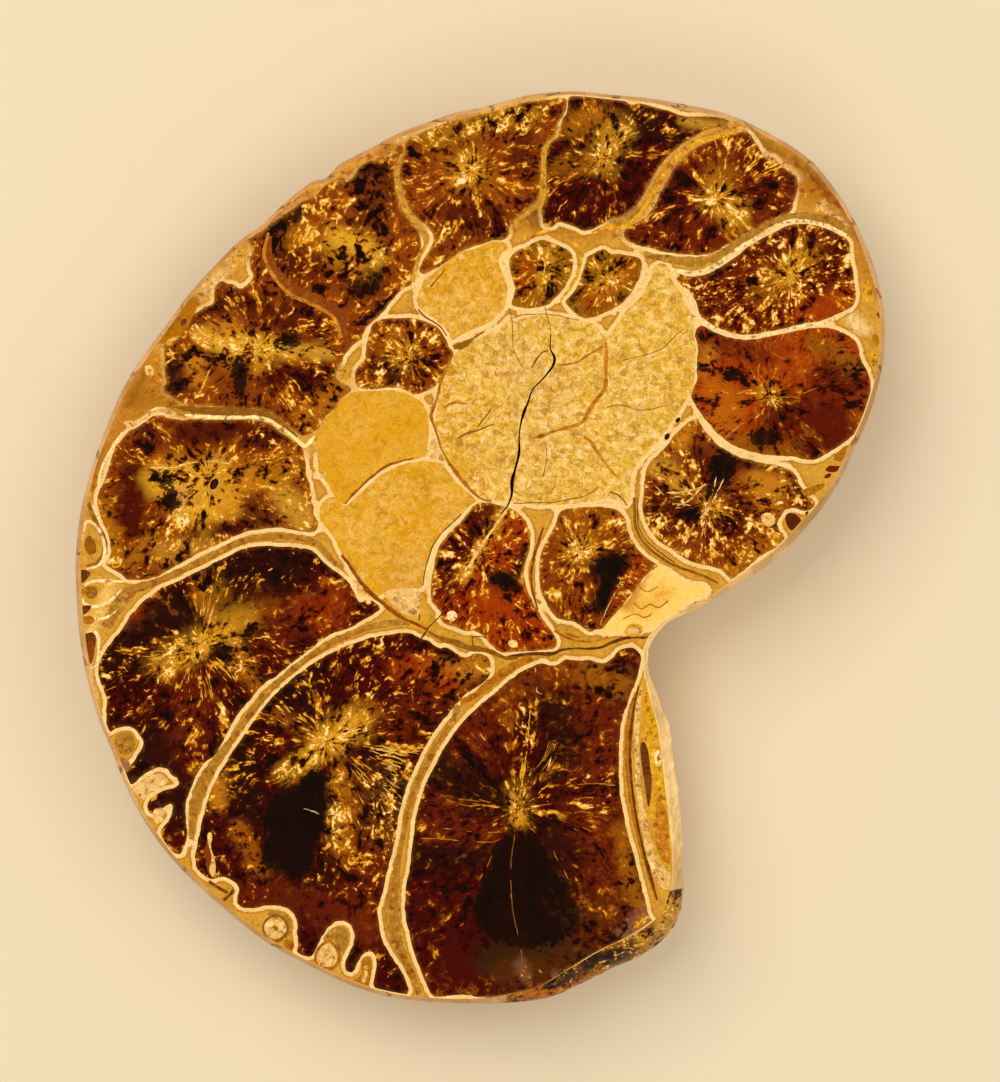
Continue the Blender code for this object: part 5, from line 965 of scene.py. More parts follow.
def from_path(points, path):
    """Distance from each point to a path."""
    path = np.array(path, dtype=float)[:, :2]
    if len(path) == 1:
        return np.hypot(*(points - path[0]).T)
    best = np.full(len(points), 1e9)
    for a, b in zip(path, path[1:]):
        run = b - a
        t = np.clip(((points - a) @ run) / (run @ run), 0.0, 1.0)
        best = np.minimum(best, np.hypot(*(points - a - t[:, None] * run).T))
    return best


# --------------------------------------------------------------------------------------
# The outside of the shell: the same rim and whorl as the solid, with finer ribs.

def on_break(rim):
    """How much each column belongs to the broken stretch of the rim (0 to 1)."""
    first = int(np.argmin(np.hypot(*(rim[:, :2] - BREAK_FROM).T)))
    last = int(np.argmin(np.hypot(*(rim[:, :2] - BREAK_TO).T)))
    k = np.arange(len(rim))
    since, until = (k - first) % len(rim), (last - k) % len(rim)
    within = np.where(since <= (last - first) % len(rim), np.minimum(since, until), -BREAK_BLEND)
    return smooth((within + BREAK_BLEND) / (2.0 * BREAK_BLEND))


def seam_radius(angle):
    """Radius of the seam round the umbilicus, which opens as the shell grows."""
    start = math.atan2(NOTCH[1] - COIL_CENTRE[1], NOTCH[0] - COIL_CENTRE[0])
    turn = ((angle - start) / math.tau) % 1.0
    radius = SEAM_RADIUS_YOUNG * (SEAM_RADIUS_OLD / SEAM_RADIUS_YOUNG) ** turn
    back = smooth((turn - 0.93) / 0.07)
    return radius * (1.0 - back) + SEAM_RADIUS_YOUNG * back


def flank_z(x, y, radius, reach, turn, drop, broken):
    """Height of the shell's outside at one point; turn is its share of the rim's length."""
    seam = seam_radius(math.atan2(y - COIL_CENTRE[1], x - COIL_CENTRE[0]))
    if radius < seam:
        share = float(np.interp(radius / seam, *zip(*UMBILICUS_SECTION)))
        return FACE_Z - HALF_THICKNESS * share
    across = (radius - seam) / (reach - seam)
    depth = max(HALF_THICKNESS * float(np.interp(across, *zip(*WHORL_SECTION))), drop)
    # ribs, a broad unevenness and fine growth lines
    ribbed = smooth((across - 0.34) / 0.25) * (1.0 - smooth((across - 0.9) / 0.09))
    phase = math.tau * RIB_COUNT * turn + 0.9 * math.sin(math.pi * across * 1.5)
    depth += RIB_HEIGHT * ribbed * (1.0 - broken) * (0.5 * math.cos(phase) - 0.5)
    depth += 0.12 * noise.noise(Vector((x * 0.09, y * 0.09, 3.0))) * smooth(across * 3.0)
    depth -= 0.05 * (0.5 + 0.5 * math.cos(phase * 4.0)) * smooth(across * 4.0)
    return FACE_Z - depth


def shell_rings():
    """Rings of points from the cut face, over the rim, to the umbilicus; its middle point."""
    rim = evenly(spline(RIM, True, 24), True, count=COLUMNS)
    into = left_of(rim)
    broken = on_break(rim)
    centre = np.array(COIL_CENTRE)
    rings = []
    for inset, drop in ((FACE_ROUNDING, 0.0), (0.12, 0.05), (0.0, FACE_ROUNDING)):
        edge = rim[:, :2] + into * (rim[:, 2] + inset)[:, None]
        rings.append([(x, y, FACE_Z - drop) for x, y in edge])
    for step in range(1, WALL_RINGS + 1):
        part = step / (WALL_RINGS + 1.0)
        ring = []
        for k, (x, y, inset, drop) in enumerate(rim):
            out = inset * (1.0 - part) ** 1.5
            spot = Vector((x * 0.45, y * 0.45, part * 7.0))
            fine = 0.18 * noise.noise(spot * 3.1) + 0.07 * noise.noise(spot * 9.0)
            bump = WALL_ROUGHNESS * noise.noise(spot) + fine
            out += bump * broken[k] * min(part * 4.0, 1.0)
            ring.append((x + into[k, 0] * out, y + into[k, 1] * out,
                         FACE_Z - FACE_ROUNDING - (drop - FACE_ROUNDING) * part))
        rings.append(ring)
    rings.append([(x, y, FACE_Z - drop) for x, y, _, drop in rim])
    for share in FLANK_RINGS + INNER_RINGS:
        ring = []
        for k in range(COLUMNS):
            reach = math.dist(rim[k, :2], centre)
            x, y = centre + (rim[k, :2] - centre) * share
            z = flank_z(x, y, reach * share, reach, k / COLUMNS, rim[k, 3], broken[k])
            ring.append((x, y, max(z, 0.0)))
        rings.append(ring)
    middle = FACE_Z - HALF_THICKNESS * UMBILICUS_SECTION[0][1]
    return np.array(rings), (centre[0], centre[1], middle)


# --------------------------------------------------------------------------------------
# The cut face: every outline is a line of the mesh, so colours change crisply along it.

FACE_STEP = 0.62            # spacing of the points between outlines
OUTLINE_STEP = 0.34
VEIN_STEP = 0.3
THINNEST = 0.05             # of a stroke or a vein
NEAREST, NEAREST_HOLLOW = 0.3, 0.2      # gaps kept between other points and the outlines
JITTER = 0.2                # of the points between outlines
WELD = 1e-5
FAR_AWAY = 9.0              # from a border or a hollow
FAN_GAPS = 0.4              # how broken the needles of a fan are
DENSEST = 0.6               # needles never crowd more than this; beyond it they turn gold
CRYSTAL_FROM, CRYSTAL_BELOW = 3.0, -41.5    # x and y past which the broken rim shows crystals
BROKEN_FLECK, BROKEN_STAR, BROKEN_LAYER = 0.5, (16.0, -40.0), 90.0      # of those crystals
SMOOTHEST = math.radians(40.0)              # edges sharper than this stay crisp
CRYSTAL, MUD, WALL, OUTSIDE = range(4)
MATERIAL_OF = {"shell": WALL, "calcite": CRYSTAL, "mud": MUD, "core": WALL, "gold": WALL,
               "line": WALL}
# The map: how the face is moved and scaled on it, and where the strip of the outside lies.
FACE_SHIFT, FACE_SCALE, FACE_CORNER = (49.5, 55.3), 0.79 / 110.5, (0.004, 0.2)
STRIP_SIZE, STRIP_CORNER = (0.99, 0.185), (0.005, 0.004)

Layer = namedtuple("Layer", "kind tone loop name fleck lining star",
                   defaults=("", 0.0, 0.0, None))
BARE_WALL = Layer("shell", "H", None, "shell", lining=1.0)      # where no outline lies


def linear(tone):
    """A tone's colour as the shader wants it."""
    share = np.array(TONES[tone]) / 255.0
    return np.where(share <= 0.04045, share / 12.92, ((share + 0.055) / 1.055) ** 2.4)


def stroke_line(path, width, step):
    """A path in equal steps, with the width in the third column."""
    rows = [row if len(row) > 2 else row + [width] for row in numbers(path)]
    return evenly(spline(rows, False), False, step)


def ribbon(path, width):
    """Outline of a stroke that follows a path."""
    line = stroke_line(path, width, OUTLINE_STEP)
    side = left_of(line, closed=False)
    ragged = 1.0 + 0.35 * rumple(line, 1.3, 21.0) + 0.25 * rumple(line, 4.1, 5.0)
    half = (np.maximum(line[:, 2], THINNEST) * ragged * 0.5)[:, None]
    drift = 0.06 * rumple(line, 0.9, 31.0)[:, None]
    return np.vstack([line[:, :2] + side * (half + drift),
                      (line[:, :2] - side * (half - drift))[::-1]])


def broken_line(path, width, gaps):
    """Outlines of a thin vein that fades out in places."""
    line = stroke_line(path, width, VEIN_STEP)
    thick = line[:, 2] * (1.0 + 0.9 * rumple(line, 0.8, 2.0) + 0.8 * rumple(line, 2.7, 6.0))
    thick[rumple(line, 0.6, 12.0) < gaps - 0.5] = 0.0
    side = left_of(line, closed=False)
    drift = 0.08 * rumple(line, 1.9, 31.0)[:, None]
    pieces, run = [], []
    for k in range(len(line) + 1):
        if k < len(line) and thick[k] > THINNEST:
            run.append(k)
            continue
        if len(run) > 2:
            half = thick[run][:, None] * 0.5
            half[[0, -1]] *= 0.3
            middle = line[run, :2] + side[run] * drift[run]
            pieces.append(np.vstack([middle + side[run] * half,
                                     (middle - side[run] * half)[::-1]]))
        run = []
    return pieces


def fan_needles():
    """Needles that spread from the middles of the fans, as veins."""
    chance = random.Random(11)
    for tone, width, x, y, heading, spread, nearest, farthest, count in FANS:
        for _ in range(count):
            angle = math.radians(heading + spread * (chance.random() - 0.5))
            start = nearest + (farthest - nearest) * 0.6 * chance.random()
            end = start + (farthest - start) * (0.25 + 0.6 * chance.random())
            bend = 0.12 * (chance.random() - 0.5)
            yield tone, width, FAN_GAPS, " ".join(
                "%.2f,%.2f" % (x + reach * math.cos(angle + turn),
                               y + reach * math.sin(angle + turn))
                for turn, reach in ((0.0, start), (bend, (start + end) / 2), (0.0, end)))


def crack_line():
    """Middle of the open crack, with its width in the third column."""
    return evenly(spline(CRACK, False), False, OUTLINE_STEP)


def pit_outline(x, y, long_radius, short_radius, turn, depth):
    """Ellipse at the top of a pit."""
    angle = np.linspace(0.0, math.tau, 16, endpoint=False)
    a, b = long_radius * np.cos(angle), short_radius * np.sin(angle)
    c, s = math.cos(math.radians(turn)), math.sin(math.radians(turn))
    return np.column_stack([x + a * c - b * s, y + a * s + b * c])


def layers():
    """Every outline on the face, the bottom one first."""
    made = [Layer(kind, tone, wobble(outline(text)), name, fleck, lining, star)
            for name, kind, tone, fleck, lining, star, text in REGIONS]
    made += [Layer(kind, tone, ribbon(path, width)) for kind, tone, width, path in STROKES]
    for tone, width, gaps, path in [*VEINS, *fan_needles()]:
        made += [Layer("gold", tone, loop) for loop in broken_line(path, width, gaps)]
    made += [Layer("shell", tone, ribbon(path, width)) for tone, width, path in WHITE_LINES]
    for kind, tone, text in PATCHES:
        loop = outline(text)
        made.append(Layer(kind, tone, wobble(loop) if kind == "calcite" else loop))
    crack = crack_line()
    side = left_of(crack, closed=False) * (crack[:, 2] * 0.5)[:, None]
    loop = np.vstack([crack[:, :2] + side, (crack[:, :2] - side)[::-1]])
    made.append(Layer("line", "D", loop, "crack"))
    return made + [Layer("line", "D", pit_outline(*pit), "pit") for pit in PITS]


def hollow_depth(spots):
    """How far inside the nearest black hollow each spot is (negative outside)."""
    depth = np.full(len(spots), -FAR_AWAY)
    for text in HOLLOWS:
        loop = outline(text)
        near = np.nonzero(np.abs(spots - loop.mean(axis=0)).max(axis=1) < 12.0)[0]
        gap = np.hypot(*(spots[near, None, :] - loop[None]).transpose(2, 0, 1)).min(axis=1)
        gap = np.where(inside(spots[near], loop), gap, -gap)
        depth[near] = np.maximum(depth[near], gap)
    return depth


def tree_of(points):
    """Nearest-point search over points of the face."""
    tree = KDTree(len(points))
    for k, (x, y) in enumerate(points):
        tree.insert((x, y, 0.0), k)
    tree.balance()
    return tree


def gaps_to(tree, points):
    """Distance from each point to the nearest point in a tree."""
    return np.array([tree.find((x, y, 0.0))[2] for x, y in points])


def kept_inside(loop, edge, tree, into, gap=0.14):
    """Moves an outline's points that reach the face's edge back inside it."""
    moved = loop.copy()
    for k, (x, y) in enumerate(loop):
        _, i, _ = tree.find((x, y, 0.0))
        depth = (loop[k] - edge[i]) @ into[i]
        if depth < gap:
            moved[k] += into[i] * (gap - depth)
    return moved


def cut_face(edge, made):
    """Triangles of the cut face: points, triangles, layer of each triangle, the edge's points,
    distance from each point to a chamber's wall."""
    into, edge_tree = left_of(edge), tree_of(edge)
    loops = [kept_inside(layer.loop, edge, edge_tree, into) for layer in made]
    edges, start = [], 0
    for loop in [edge] + loops:
        edges += [(start + k, start + (k + 1) % len(loop)) for k in range(len(loop))]
        start += len(loop)
    outlines = np.vstack([edge] + loops)
    tree = tree_of(outlines)
    low, high = edge.min(axis=0), edge.max(axis=0)
    grid = np.stack(np.meshgrid(np.arange(low[0], high[0], FACE_STEP),
                                np.arange(low[1], high[1], FACE_STEP)), axis=-1).reshape(-1, 2)
    grid += np.random.default_rng(7).uniform(-JITTER, JITTER, grid.shape)
    grid = grid[inside(grid, edge)]
    hollows = np.vstack([outline(text) for text in HOLLOWS])
    everything = np.vstack([outlines, grid[gaps_to(tree, grid) > NEAREST],
                            hollows[gaps_to(tree, hollows) > NEAREST_HOLLOW]])
    verts, _, faces, origin, _, _ = delaunay_2d_cdt(
        [Vector(p) for p in everything], edges, [], 0, WELD, True)
    verts, faces = np.array([(v.x, v.y) for v in verts]), np.array(faces)
    faces = faces[inside(verts[faces].mean(axis=1), edge)]
    middle = verts[faces].mean(axis=1)
    layer_of = np.full(len(faces), -1)
    for k, loop in enumerate(loops):
        layer_of[inside(middle, loop)] = k
    place = {i: k for k, source in enumerate(origin) for i in source if i < len(edge)}
    rim_index = [place[k] for k in range(len(edge))]
    walls = tree_of(np.vstack(loops[:len(REGIONS)]))
    return verts, faces, layer_of, rim_index, gaps_to(walls, verts)


def ragged_share(spots, path, radius):
    """How strongly a soft mark with a ragged edge covers each spot (0 to 1)."""
    gap = from_path(spots, numbers(path))
    ragged = 1.0 + 0.35 * rumple(spots, 0.9, radius) + 0.3 * rumple(spots, 2.6, radius)
    return smooth(1.35 - gap / (radius * ragged))


def brushed(colour, spots, name):
    """Go over the colours at some spots with the brushes of one region."""
    for tone, strength, radius, path in BRUSHES.get(name, ()):
        share = strength * ragged_share(spots, path, radius)
        colour += (linear(tone) - colour) * share[:, None]


def tones_on(corners, layer_of, made):
    """Tone, fleck density, lining and star offset at each corner of the face's triangles."""
    count = len(layer_of)
    colour, star = np.zeros((count, 3, 3)), np.zeros((count, 3, 3))
    fleck, lining = np.zeros((count, 3)), np.zeros((count, 3))
    for k in range(-1, len(made)):
        layer = made[k] if k >= 0 else BARE_WALL
        mine = np.nonzero(layer_of == k)[0]
        if not len(mine):
            continue
        colour[mine] = linear(layer.tone)
        fleck[mine] = layer.fleck
        lining[mine] = layer.lining
        spots = corners[mine].reshape(-1, 2)
        if layer.star is not None:
            star[mine, :, :2] = (spots - layer.star).reshape(-1, 3, 2)
            star[mine, :, 2] = k
        painted, dense = colour[mine].reshape(-1, 3), fleck[mine].reshape(-1)
        brushed(painted, spots, layer.name)
        for density, radius, path in SPARKS.get(layer.name, ()):
            share = ragged_share(spots, path, radius)
            dense += (min(density, DENSEST) - dense) * share
            gilt = share * max(0.0, density - 0.5) * 1.5
            painted += (linear("G") - painted) * gilt[:, None]
        colour[mine] = painted.reshape(-1, 3, 3)
        fleck[mine] = dense.reshape(-1, 3)
        if layer is BARE_WALL:
            plain = lining[mine].reshape(-1)
            for radius, path in SOFT_WALLS:
                plain *= 1.0 - 0.85 * ragged_share(spots, path, radius)
            lining[mine] = plain.reshape(-1, 3)
    return colour, fleck, lining, star


def border_of(faces):
    """Directed edges round a patch of triangles."""
    border = {}
    for a, b, c in faces:
        for pair in ((a, b), (b, c), (c, a)):
            if border.pop(pair[::-1], None) is None:
                border[pair] = True
    return border


def sink_crack(border, verts, points, polygons):
    """Walls of the open crack, down to a line that is deepest where it is widest."""
    crack = crack_line()
    low = [len(points) + k for k in range(len(crack))]
    points += [(x, y, FACE_Z - CRACK_DEPTH * min(1.0, 0.35 + 2.2 * width))
               for x, y, width in crack]
    nearest = {v: int(np.argmin(np.hypot(*(crack[:, :2] - verts[v]).T)))
               for pair in border for v in pair}
    for a, b in border:
        i, j = nearest[a], nearest[b]
        step = 1 if j < i else -1
        polygons.append([a, b] + [low[k] for k in range(j, i + step, step)])


def sink_pit(border, verts, points, polygons, pit):
    """Walls and floor of a pit."""
    x, y, *_, depth = pit
    low = {}
    for v in sorted({v for pair in border for v in pair}):
        low[v] = len(points)
        points.append((x + (verts[v][0] - x) * 0.6, y + (verts[v][1] - y) * 0.6,
                       FACE_Z - depth * 0.8))
    bottom = len(points)
    points.append((x, y, FACE_Z - depth))
    for a, b in border:
        polygons += [[a, b, low[b], low[a]], [low[a], low[b], bottom]]


def outer_polygons(index, tip):
    """Quads from ring to ring, and the triangles round the middle of the umbilicus."""
    made = []
    for upper, lower in zip(index, index[1:]):
        for k in range(COLUMNS):
            n = (k + 1) % COLUMNS
            made.append([upper[k], lower[k], lower[n], upper[n]])
    last = index[-1]
    return made + [[last[(k + 1) % COLUMNS], last[k], tip] for k in range(COLUMNS)]


def store(mesh, name, kind, domain, values):
    """Adds an attribute with its values."""
    field = {"FLOAT": "value", "FLOAT_VECTOR": "vector", "FLOAT_COLOR": "color"}[kind]
    mesh.attributes.new(name, kind, domain).data.foreach_set(field, np.ravel(values))


def fossil_mesh():
    """The whole fossil as one closed mesh with its colours."""
    rings, middle = shell_rings()
    made = layers()
    verts, faces, layer_of, rim_index, far = cut_face(rings[0][:, :2], made)
    points = [(x, y, FACE_Z) for x, y in verts]

    # the crack and the pits are open: their triangles give way to walls and floors
    sunk, pits = [], iter(PITS)
    holes = [k for k, layer in enumerate(made) if layer.name in ("crack", "pit")]
    for hole in holes:
        border = border_of(faces[layer_of == hole])
        if made[hole].name == "crack":
            sink_crack(border, verts, points, sunk)
        else:
            sink_pit(border, verts, points, sunk, next(pits))
    keep = ~np.isin(layer_of, holes)
    faces, layer_of = faces[keep], layer_of[keep]

    index = [rim_index]
    for ring in rings[1:]:
        index.append([len(points) + k for k in range(COLUMNS)])
        points += [tuple(p) for p in ring]
    outer = outer_polygons(index, len(points))
    points.append(middle)
    flat, face_corners = len(faces) + len(sunk), len(faces) * 3

    mesh = bpy.data.meshes.new("ammonite")
    mesh.from_pydata([Vector(p) * MM for p in points], [],
                     [list(f) for f in faces] + sunk + outer)
    mesh.validate()
    slots = np.array([MATERIAL_OF["shell" if k < 0 else made[k].kind] for k in layer_of]
                     + [CRYSTAL] * len(sunk) + [OUTSIDE] * len(outer))
    broken = np.nonzero((rings[1][:, 0] > CRYSTAL_FROM) & (rings[1][:, 1] < CRYSTAL_BELOW))[0]
    crystals = [flat + r * COLUMNS + k for r in range(WALL_RINGS + 3) for k in broken]
    slots[crystals] = CRYSTAL
    mesh.polygons.foreach_set("material_index", slots)
    mesh.polygons.foreach_set("use_smooth", [True] * len(slots))

    # values at the corners: those of the cut face first, then the rest
    colour, fleck, lining, star = tones_on(verts[faces], layer_of, made)
    others = len(mesh.loops) - face_corners
    flecks = np.concatenate([fleck.ravel(), np.zeros(others)])
    linings = np.concatenate([lining.ravel(), np.zeros(others)])
    stars = np.vstack([star.reshape(-1, 3), np.zeros((others, 3))])
    spots = np.array(points)[[v for p in sunk + outer for v in p]]
    rest = np.tile(linear("F"), (others, 1))
    brushed(rest, spots[:, :2], "outside")
    # the walls and floors of the crack and pits are painted dark brown: painted shade in the recesses
    rest[:sum(len(p) for p in sunk)] = linear("D")
    patchy = smooth(rumple(spots, 0.5, 6.0) + 0.5)[:, None]
    broken_tone = linear("K") + (linear("Z") - linear("K")) * patchy
    brushed(broken_tone, spots[:, :2], "break")
    starts = np.cumsum([0] + [len(p) for p in sunk + outer])
    for face in crystals:
        there = slice(starts[face - len(faces)], starts[face - len(faces)] + 4)
        mine = slice(face_corners + there.start, face_corners + there.stop)
        rest[there] = broken_tone[there]
        flecks[mine] = BROKEN_FLECK
        stars[mine, :2] = spots[there, :2] - BROKEN_STAR
        stars[mine, 2] = BROKEN_LAYER
    tone = np.ones((len(mesh.loops), 4))
    tone[:, :3] = np.vstack([colour.reshape(-1, 3), rest])
    store(mesh, "tone", "FLOAT_COLOR", "CORNER", tone)
    store(mesh, "fleck", "FLOAT", "CORNER", flecks)
    store(mesh, "lining", "FLOAT", "CORNER", linings)
    store(mesh, "star", "FLOAT_VECTOR", "CORNER", stars)

    # values at the points
    off_face = np.full(len(points) - len(verts), FAR_AWAY)
    store(mesh, "border", "FLOAT", "POINT", np.concatenate([far, off_face]))
    store(mesh, "hollow", "FLOAT", "POINT", np.concatenate([hollow_depth(verts), -off_face]))
    suture, reach = shell_lines(np.array(points)[:, :2])
    store(mesh, "suture", "FLOAT", "POINT", suture)
    store(mesh, "reach", "FLOAT", "POINT", reach)
    unwrap(mesh, flat, len(rings))
    mesh.set_sharp_from_angle(angle=SMOOTHEST)
    return mesh


def shell_lines(spots):
    """Distance from each spot to the nearest suture, along the whorl, and to the middle."""
    spots = spots - COIL_CENTRE
    angle, reach = np.arctan2(spots[:, 1], spots[:, 0]), np.hypot(*spots.T)
    gap = (angle[:, None] - np.radians(SUTURES)[None, :] + math.pi) % math.tau - math.pi
    nearest = np.abs(gap).argmin(axis=1)
    return gap[np.arange(len(gap)), nearest] * reach, reach


def unwrap(mesh, flat, ring_count):
    """The face keeps its shape on the map; the outside is a strip under it."""
    place = np.empty(len(mesh.vertices) * 3)
    mesh.vertices.foreach_get("co", place)
    place = place.reshape(-1, 3) / MM
    corners = np.empty(len(mesh.loops), dtype=int)
    mesh.loops.foreach_get("vertex_index", corners)
    on_face = sum(polygon.loop_total for polygon in mesh.polygons[:flat])
    face = (place[corners[:on_face]][:, :2] + FACE_SHIFT) * FACE_SCALE + FACE_CORNER
    k = np.tile(np.arange(COLUMNS), ring_count - 1)
    ring = np.repeat(np.arange(ring_count - 1), COLUMNS)
    u = np.stack([k, k, k + 1, k + 1], axis=1) / COLUMNS
    v = np.stack([ring, ring + 1, ring + 1, ring], axis=1) / ring_count
    quads = np.stack([u, v], axis=-1).reshape(-1, 2)
    k = np.arange(COLUMNS)
    last = 1 - 1 / ring_count
    tip = np.stack([np.stack([k + 1, k, k + 0.5], axis=1) / COLUMNS,
                    np.tile([last, last, 1.0], (COLUMNS, 1))], axis=-1).reshape(-1, 2)
    strip = np.vstack([quads, tip]) * STRIP_SIZE + STRIP_CORNER
    layer = mesh.uv_layers.new(name="OFBake")
    layer.data.foreach_set("uv", np.vstack([face, strip]).ravel())


# --------------------------------------------------------------------------------------
# Materials. The mesh carries the painted tone, the fleck density, the offset from the middle
# of the chamber's crystals, and the distances to the nearest wall, hollow and suture.

def shade(tone):
    """A tone as a colour socket value."""
    return (*linear(tone), 1.0)


class Nodes:
    """A small helper that adds shader nodes and links them."""

    def __init__(self, name):
        self.material = bpy.data.materials.new(name)
        self.material.use_nodes = True
        self.tree = self.material.node_tree
        self.shader = self.tree.nodes["Principled BSDF"]
        self.column = 0

    def add(self, kind, **settings):
        node = self.tree.nodes.new(kind)
        node.location = (-1800 + 190 * (self.column % 9), 500 - 260 * (self.column // 9))
        self.column += 1
        for name, value in settings.items():
            setattr(node, name, value)
        return node

    def put(self, socket, value):
        """Links a socket or sets a constant."""
        if isinstance(value, bpy.types.NodeSocket):
            self.tree.links.new(value, socket)
        else:
            socket.default_value = value

    def fill(self, node, **values):
        """Fills sockets by name; an underscore in a name stands for a space."""
        for name, value in values.items():
            self.put(node.inputs[name.replace("_", " ")], value)

    def attribute(self, name, output="Fac"):
        node = self.add("ShaderNodeAttribute", attribute_type="GEOMETRY")
        node.attribute_name = name
        return node.outputs[output]

    def math(self, operation, *values):
        node = self.add("ShaderNodeMath", operation=operation)
        for socket, value in zip(node.inputs, values):
            self.put(socket, value)
        return node.outputs[0]

    def times(self, first, *others):
        """Product of values."""
        for value in others:
            first = self.math("MULTIPLY", first, value)
        return first

    def total(self, *parts):
        """Sum of (value, weight) pairs."""
        result = 0.0
        for value, weight in parts:
            result = self.math("MULTIPLY_ADD", value, weight, result)
        return result

    def vector(self, operation, a, b=(0.0, 0.0, 0.0)):
        node = self.add("ShaderNodeVectorMath", operation=operation)
        self.put(node.inputs[0], a)
        self.put(node.inputs[1], b)
        return node.outputs["Value" if operation == "LENGTH" else "Vector"]

    def scaled(self, value, scale):
        node = self.add("ShaderNodeVectorMath", operation="SCALE")
        self.put(node.inputs[0], value)
        self.put(node.inputs["Scale"], scale)
        return node.outputs["Vector"]

    def upright(self, axis, value):
        """Vector along one axis."""
        node = self.add("ShaderNodeCombineXYZ")
        self.put(node.inputs[axis], value)
        return node.outputs[0]

    def noise(self, at, scale, detail=3.0, rough=0.55, output="Fac"):
        node = self.add("ShaderNodeTexNoise")
        self.fill(node, Vector=at, Scale=scale, Detail=detail, Roughness=rough, Distortion=0.0)
        return node.outputs[output]

    def around_zero(self, value):
        return self.math("SUBTRACT", value, 0.5)

    def warped(self, at, scale, amount):
        """A place moved about by noise."""
        drift = self.noise(at, scale, 2.0, output="Color")
        return self.vector("ADD", at, self.scaled(drift, amount))

    def cells(self, at, scale):
        """A level per cell, around zero."""
        node = self.add("ShaderNodeTexVoronoi", feature="F1")
        self.fill(node, Vector=at, Scale=scale)
        return self.around_zero(node.outputs["Color"])

    def range(self, value, low, high, to_low=0.0, to_high=1.0, soft=True):
        node = self.add("ShaderNodeMapRange",
                        interpolation_type="SMOOTHSTEP" if soft else "LINEAR")
        node.clamp = True
        for socket, number in zip(node.inputs, (value, low, high, to_low, to_high)):
            self.put(socket, number)
        return node.outputs[0]

    def below(self, value, low, high):
        """1 below a range, 0 above it."""
        return self.range(value, low, high, 1.0, 0.0)

    def mix(self, share, a, b, kind="RGBA"):
        node = self.add("ShaderNodeMix", data_type=kind)
        self.fill(node, Factor=share, A=a, B=b)
        return node.outputs["Result"]

    def over(self, body, paint, *shares):
        """Lays a paint or a tone over the body, by the product of the shares."""
        paint = shade(paint) if isinstance(paint, str) else paint
        return self.mix(self.times(*shares), body, paint)

    def grained(self, body, grain, low, high, darkest, lightest):
        """The body lighter and darker with the grain."""
        return self.scaled(body, self.range(grain, low, high, darkest, lightest, soft=False))

    def millimetres(self):
        place = self.add("ShaderNodeTexCoord").outputs["Object"]
        return self.scaled(place, 1.0 / MM)

    def bump(self, height, strength, distance):
        node = self.add("ShaderNodeBump")
        self.fill(node, Height=height, Strength=strength, Distance=distance * MM)
        self.put(self.shader.inputs["Normal"], node.outputs["Normal"])

    def finish(self, colour, roughness, coat=0.0, coat_roughness=0.1, specular=0.5):
        self.fill(self.shader, Base_Color=colour, Roughness=roughness, Coat_Weight=coat,
                  Coat_Roughness=coat_roughness, Specular_IOR_Level=specular)
        return self.material


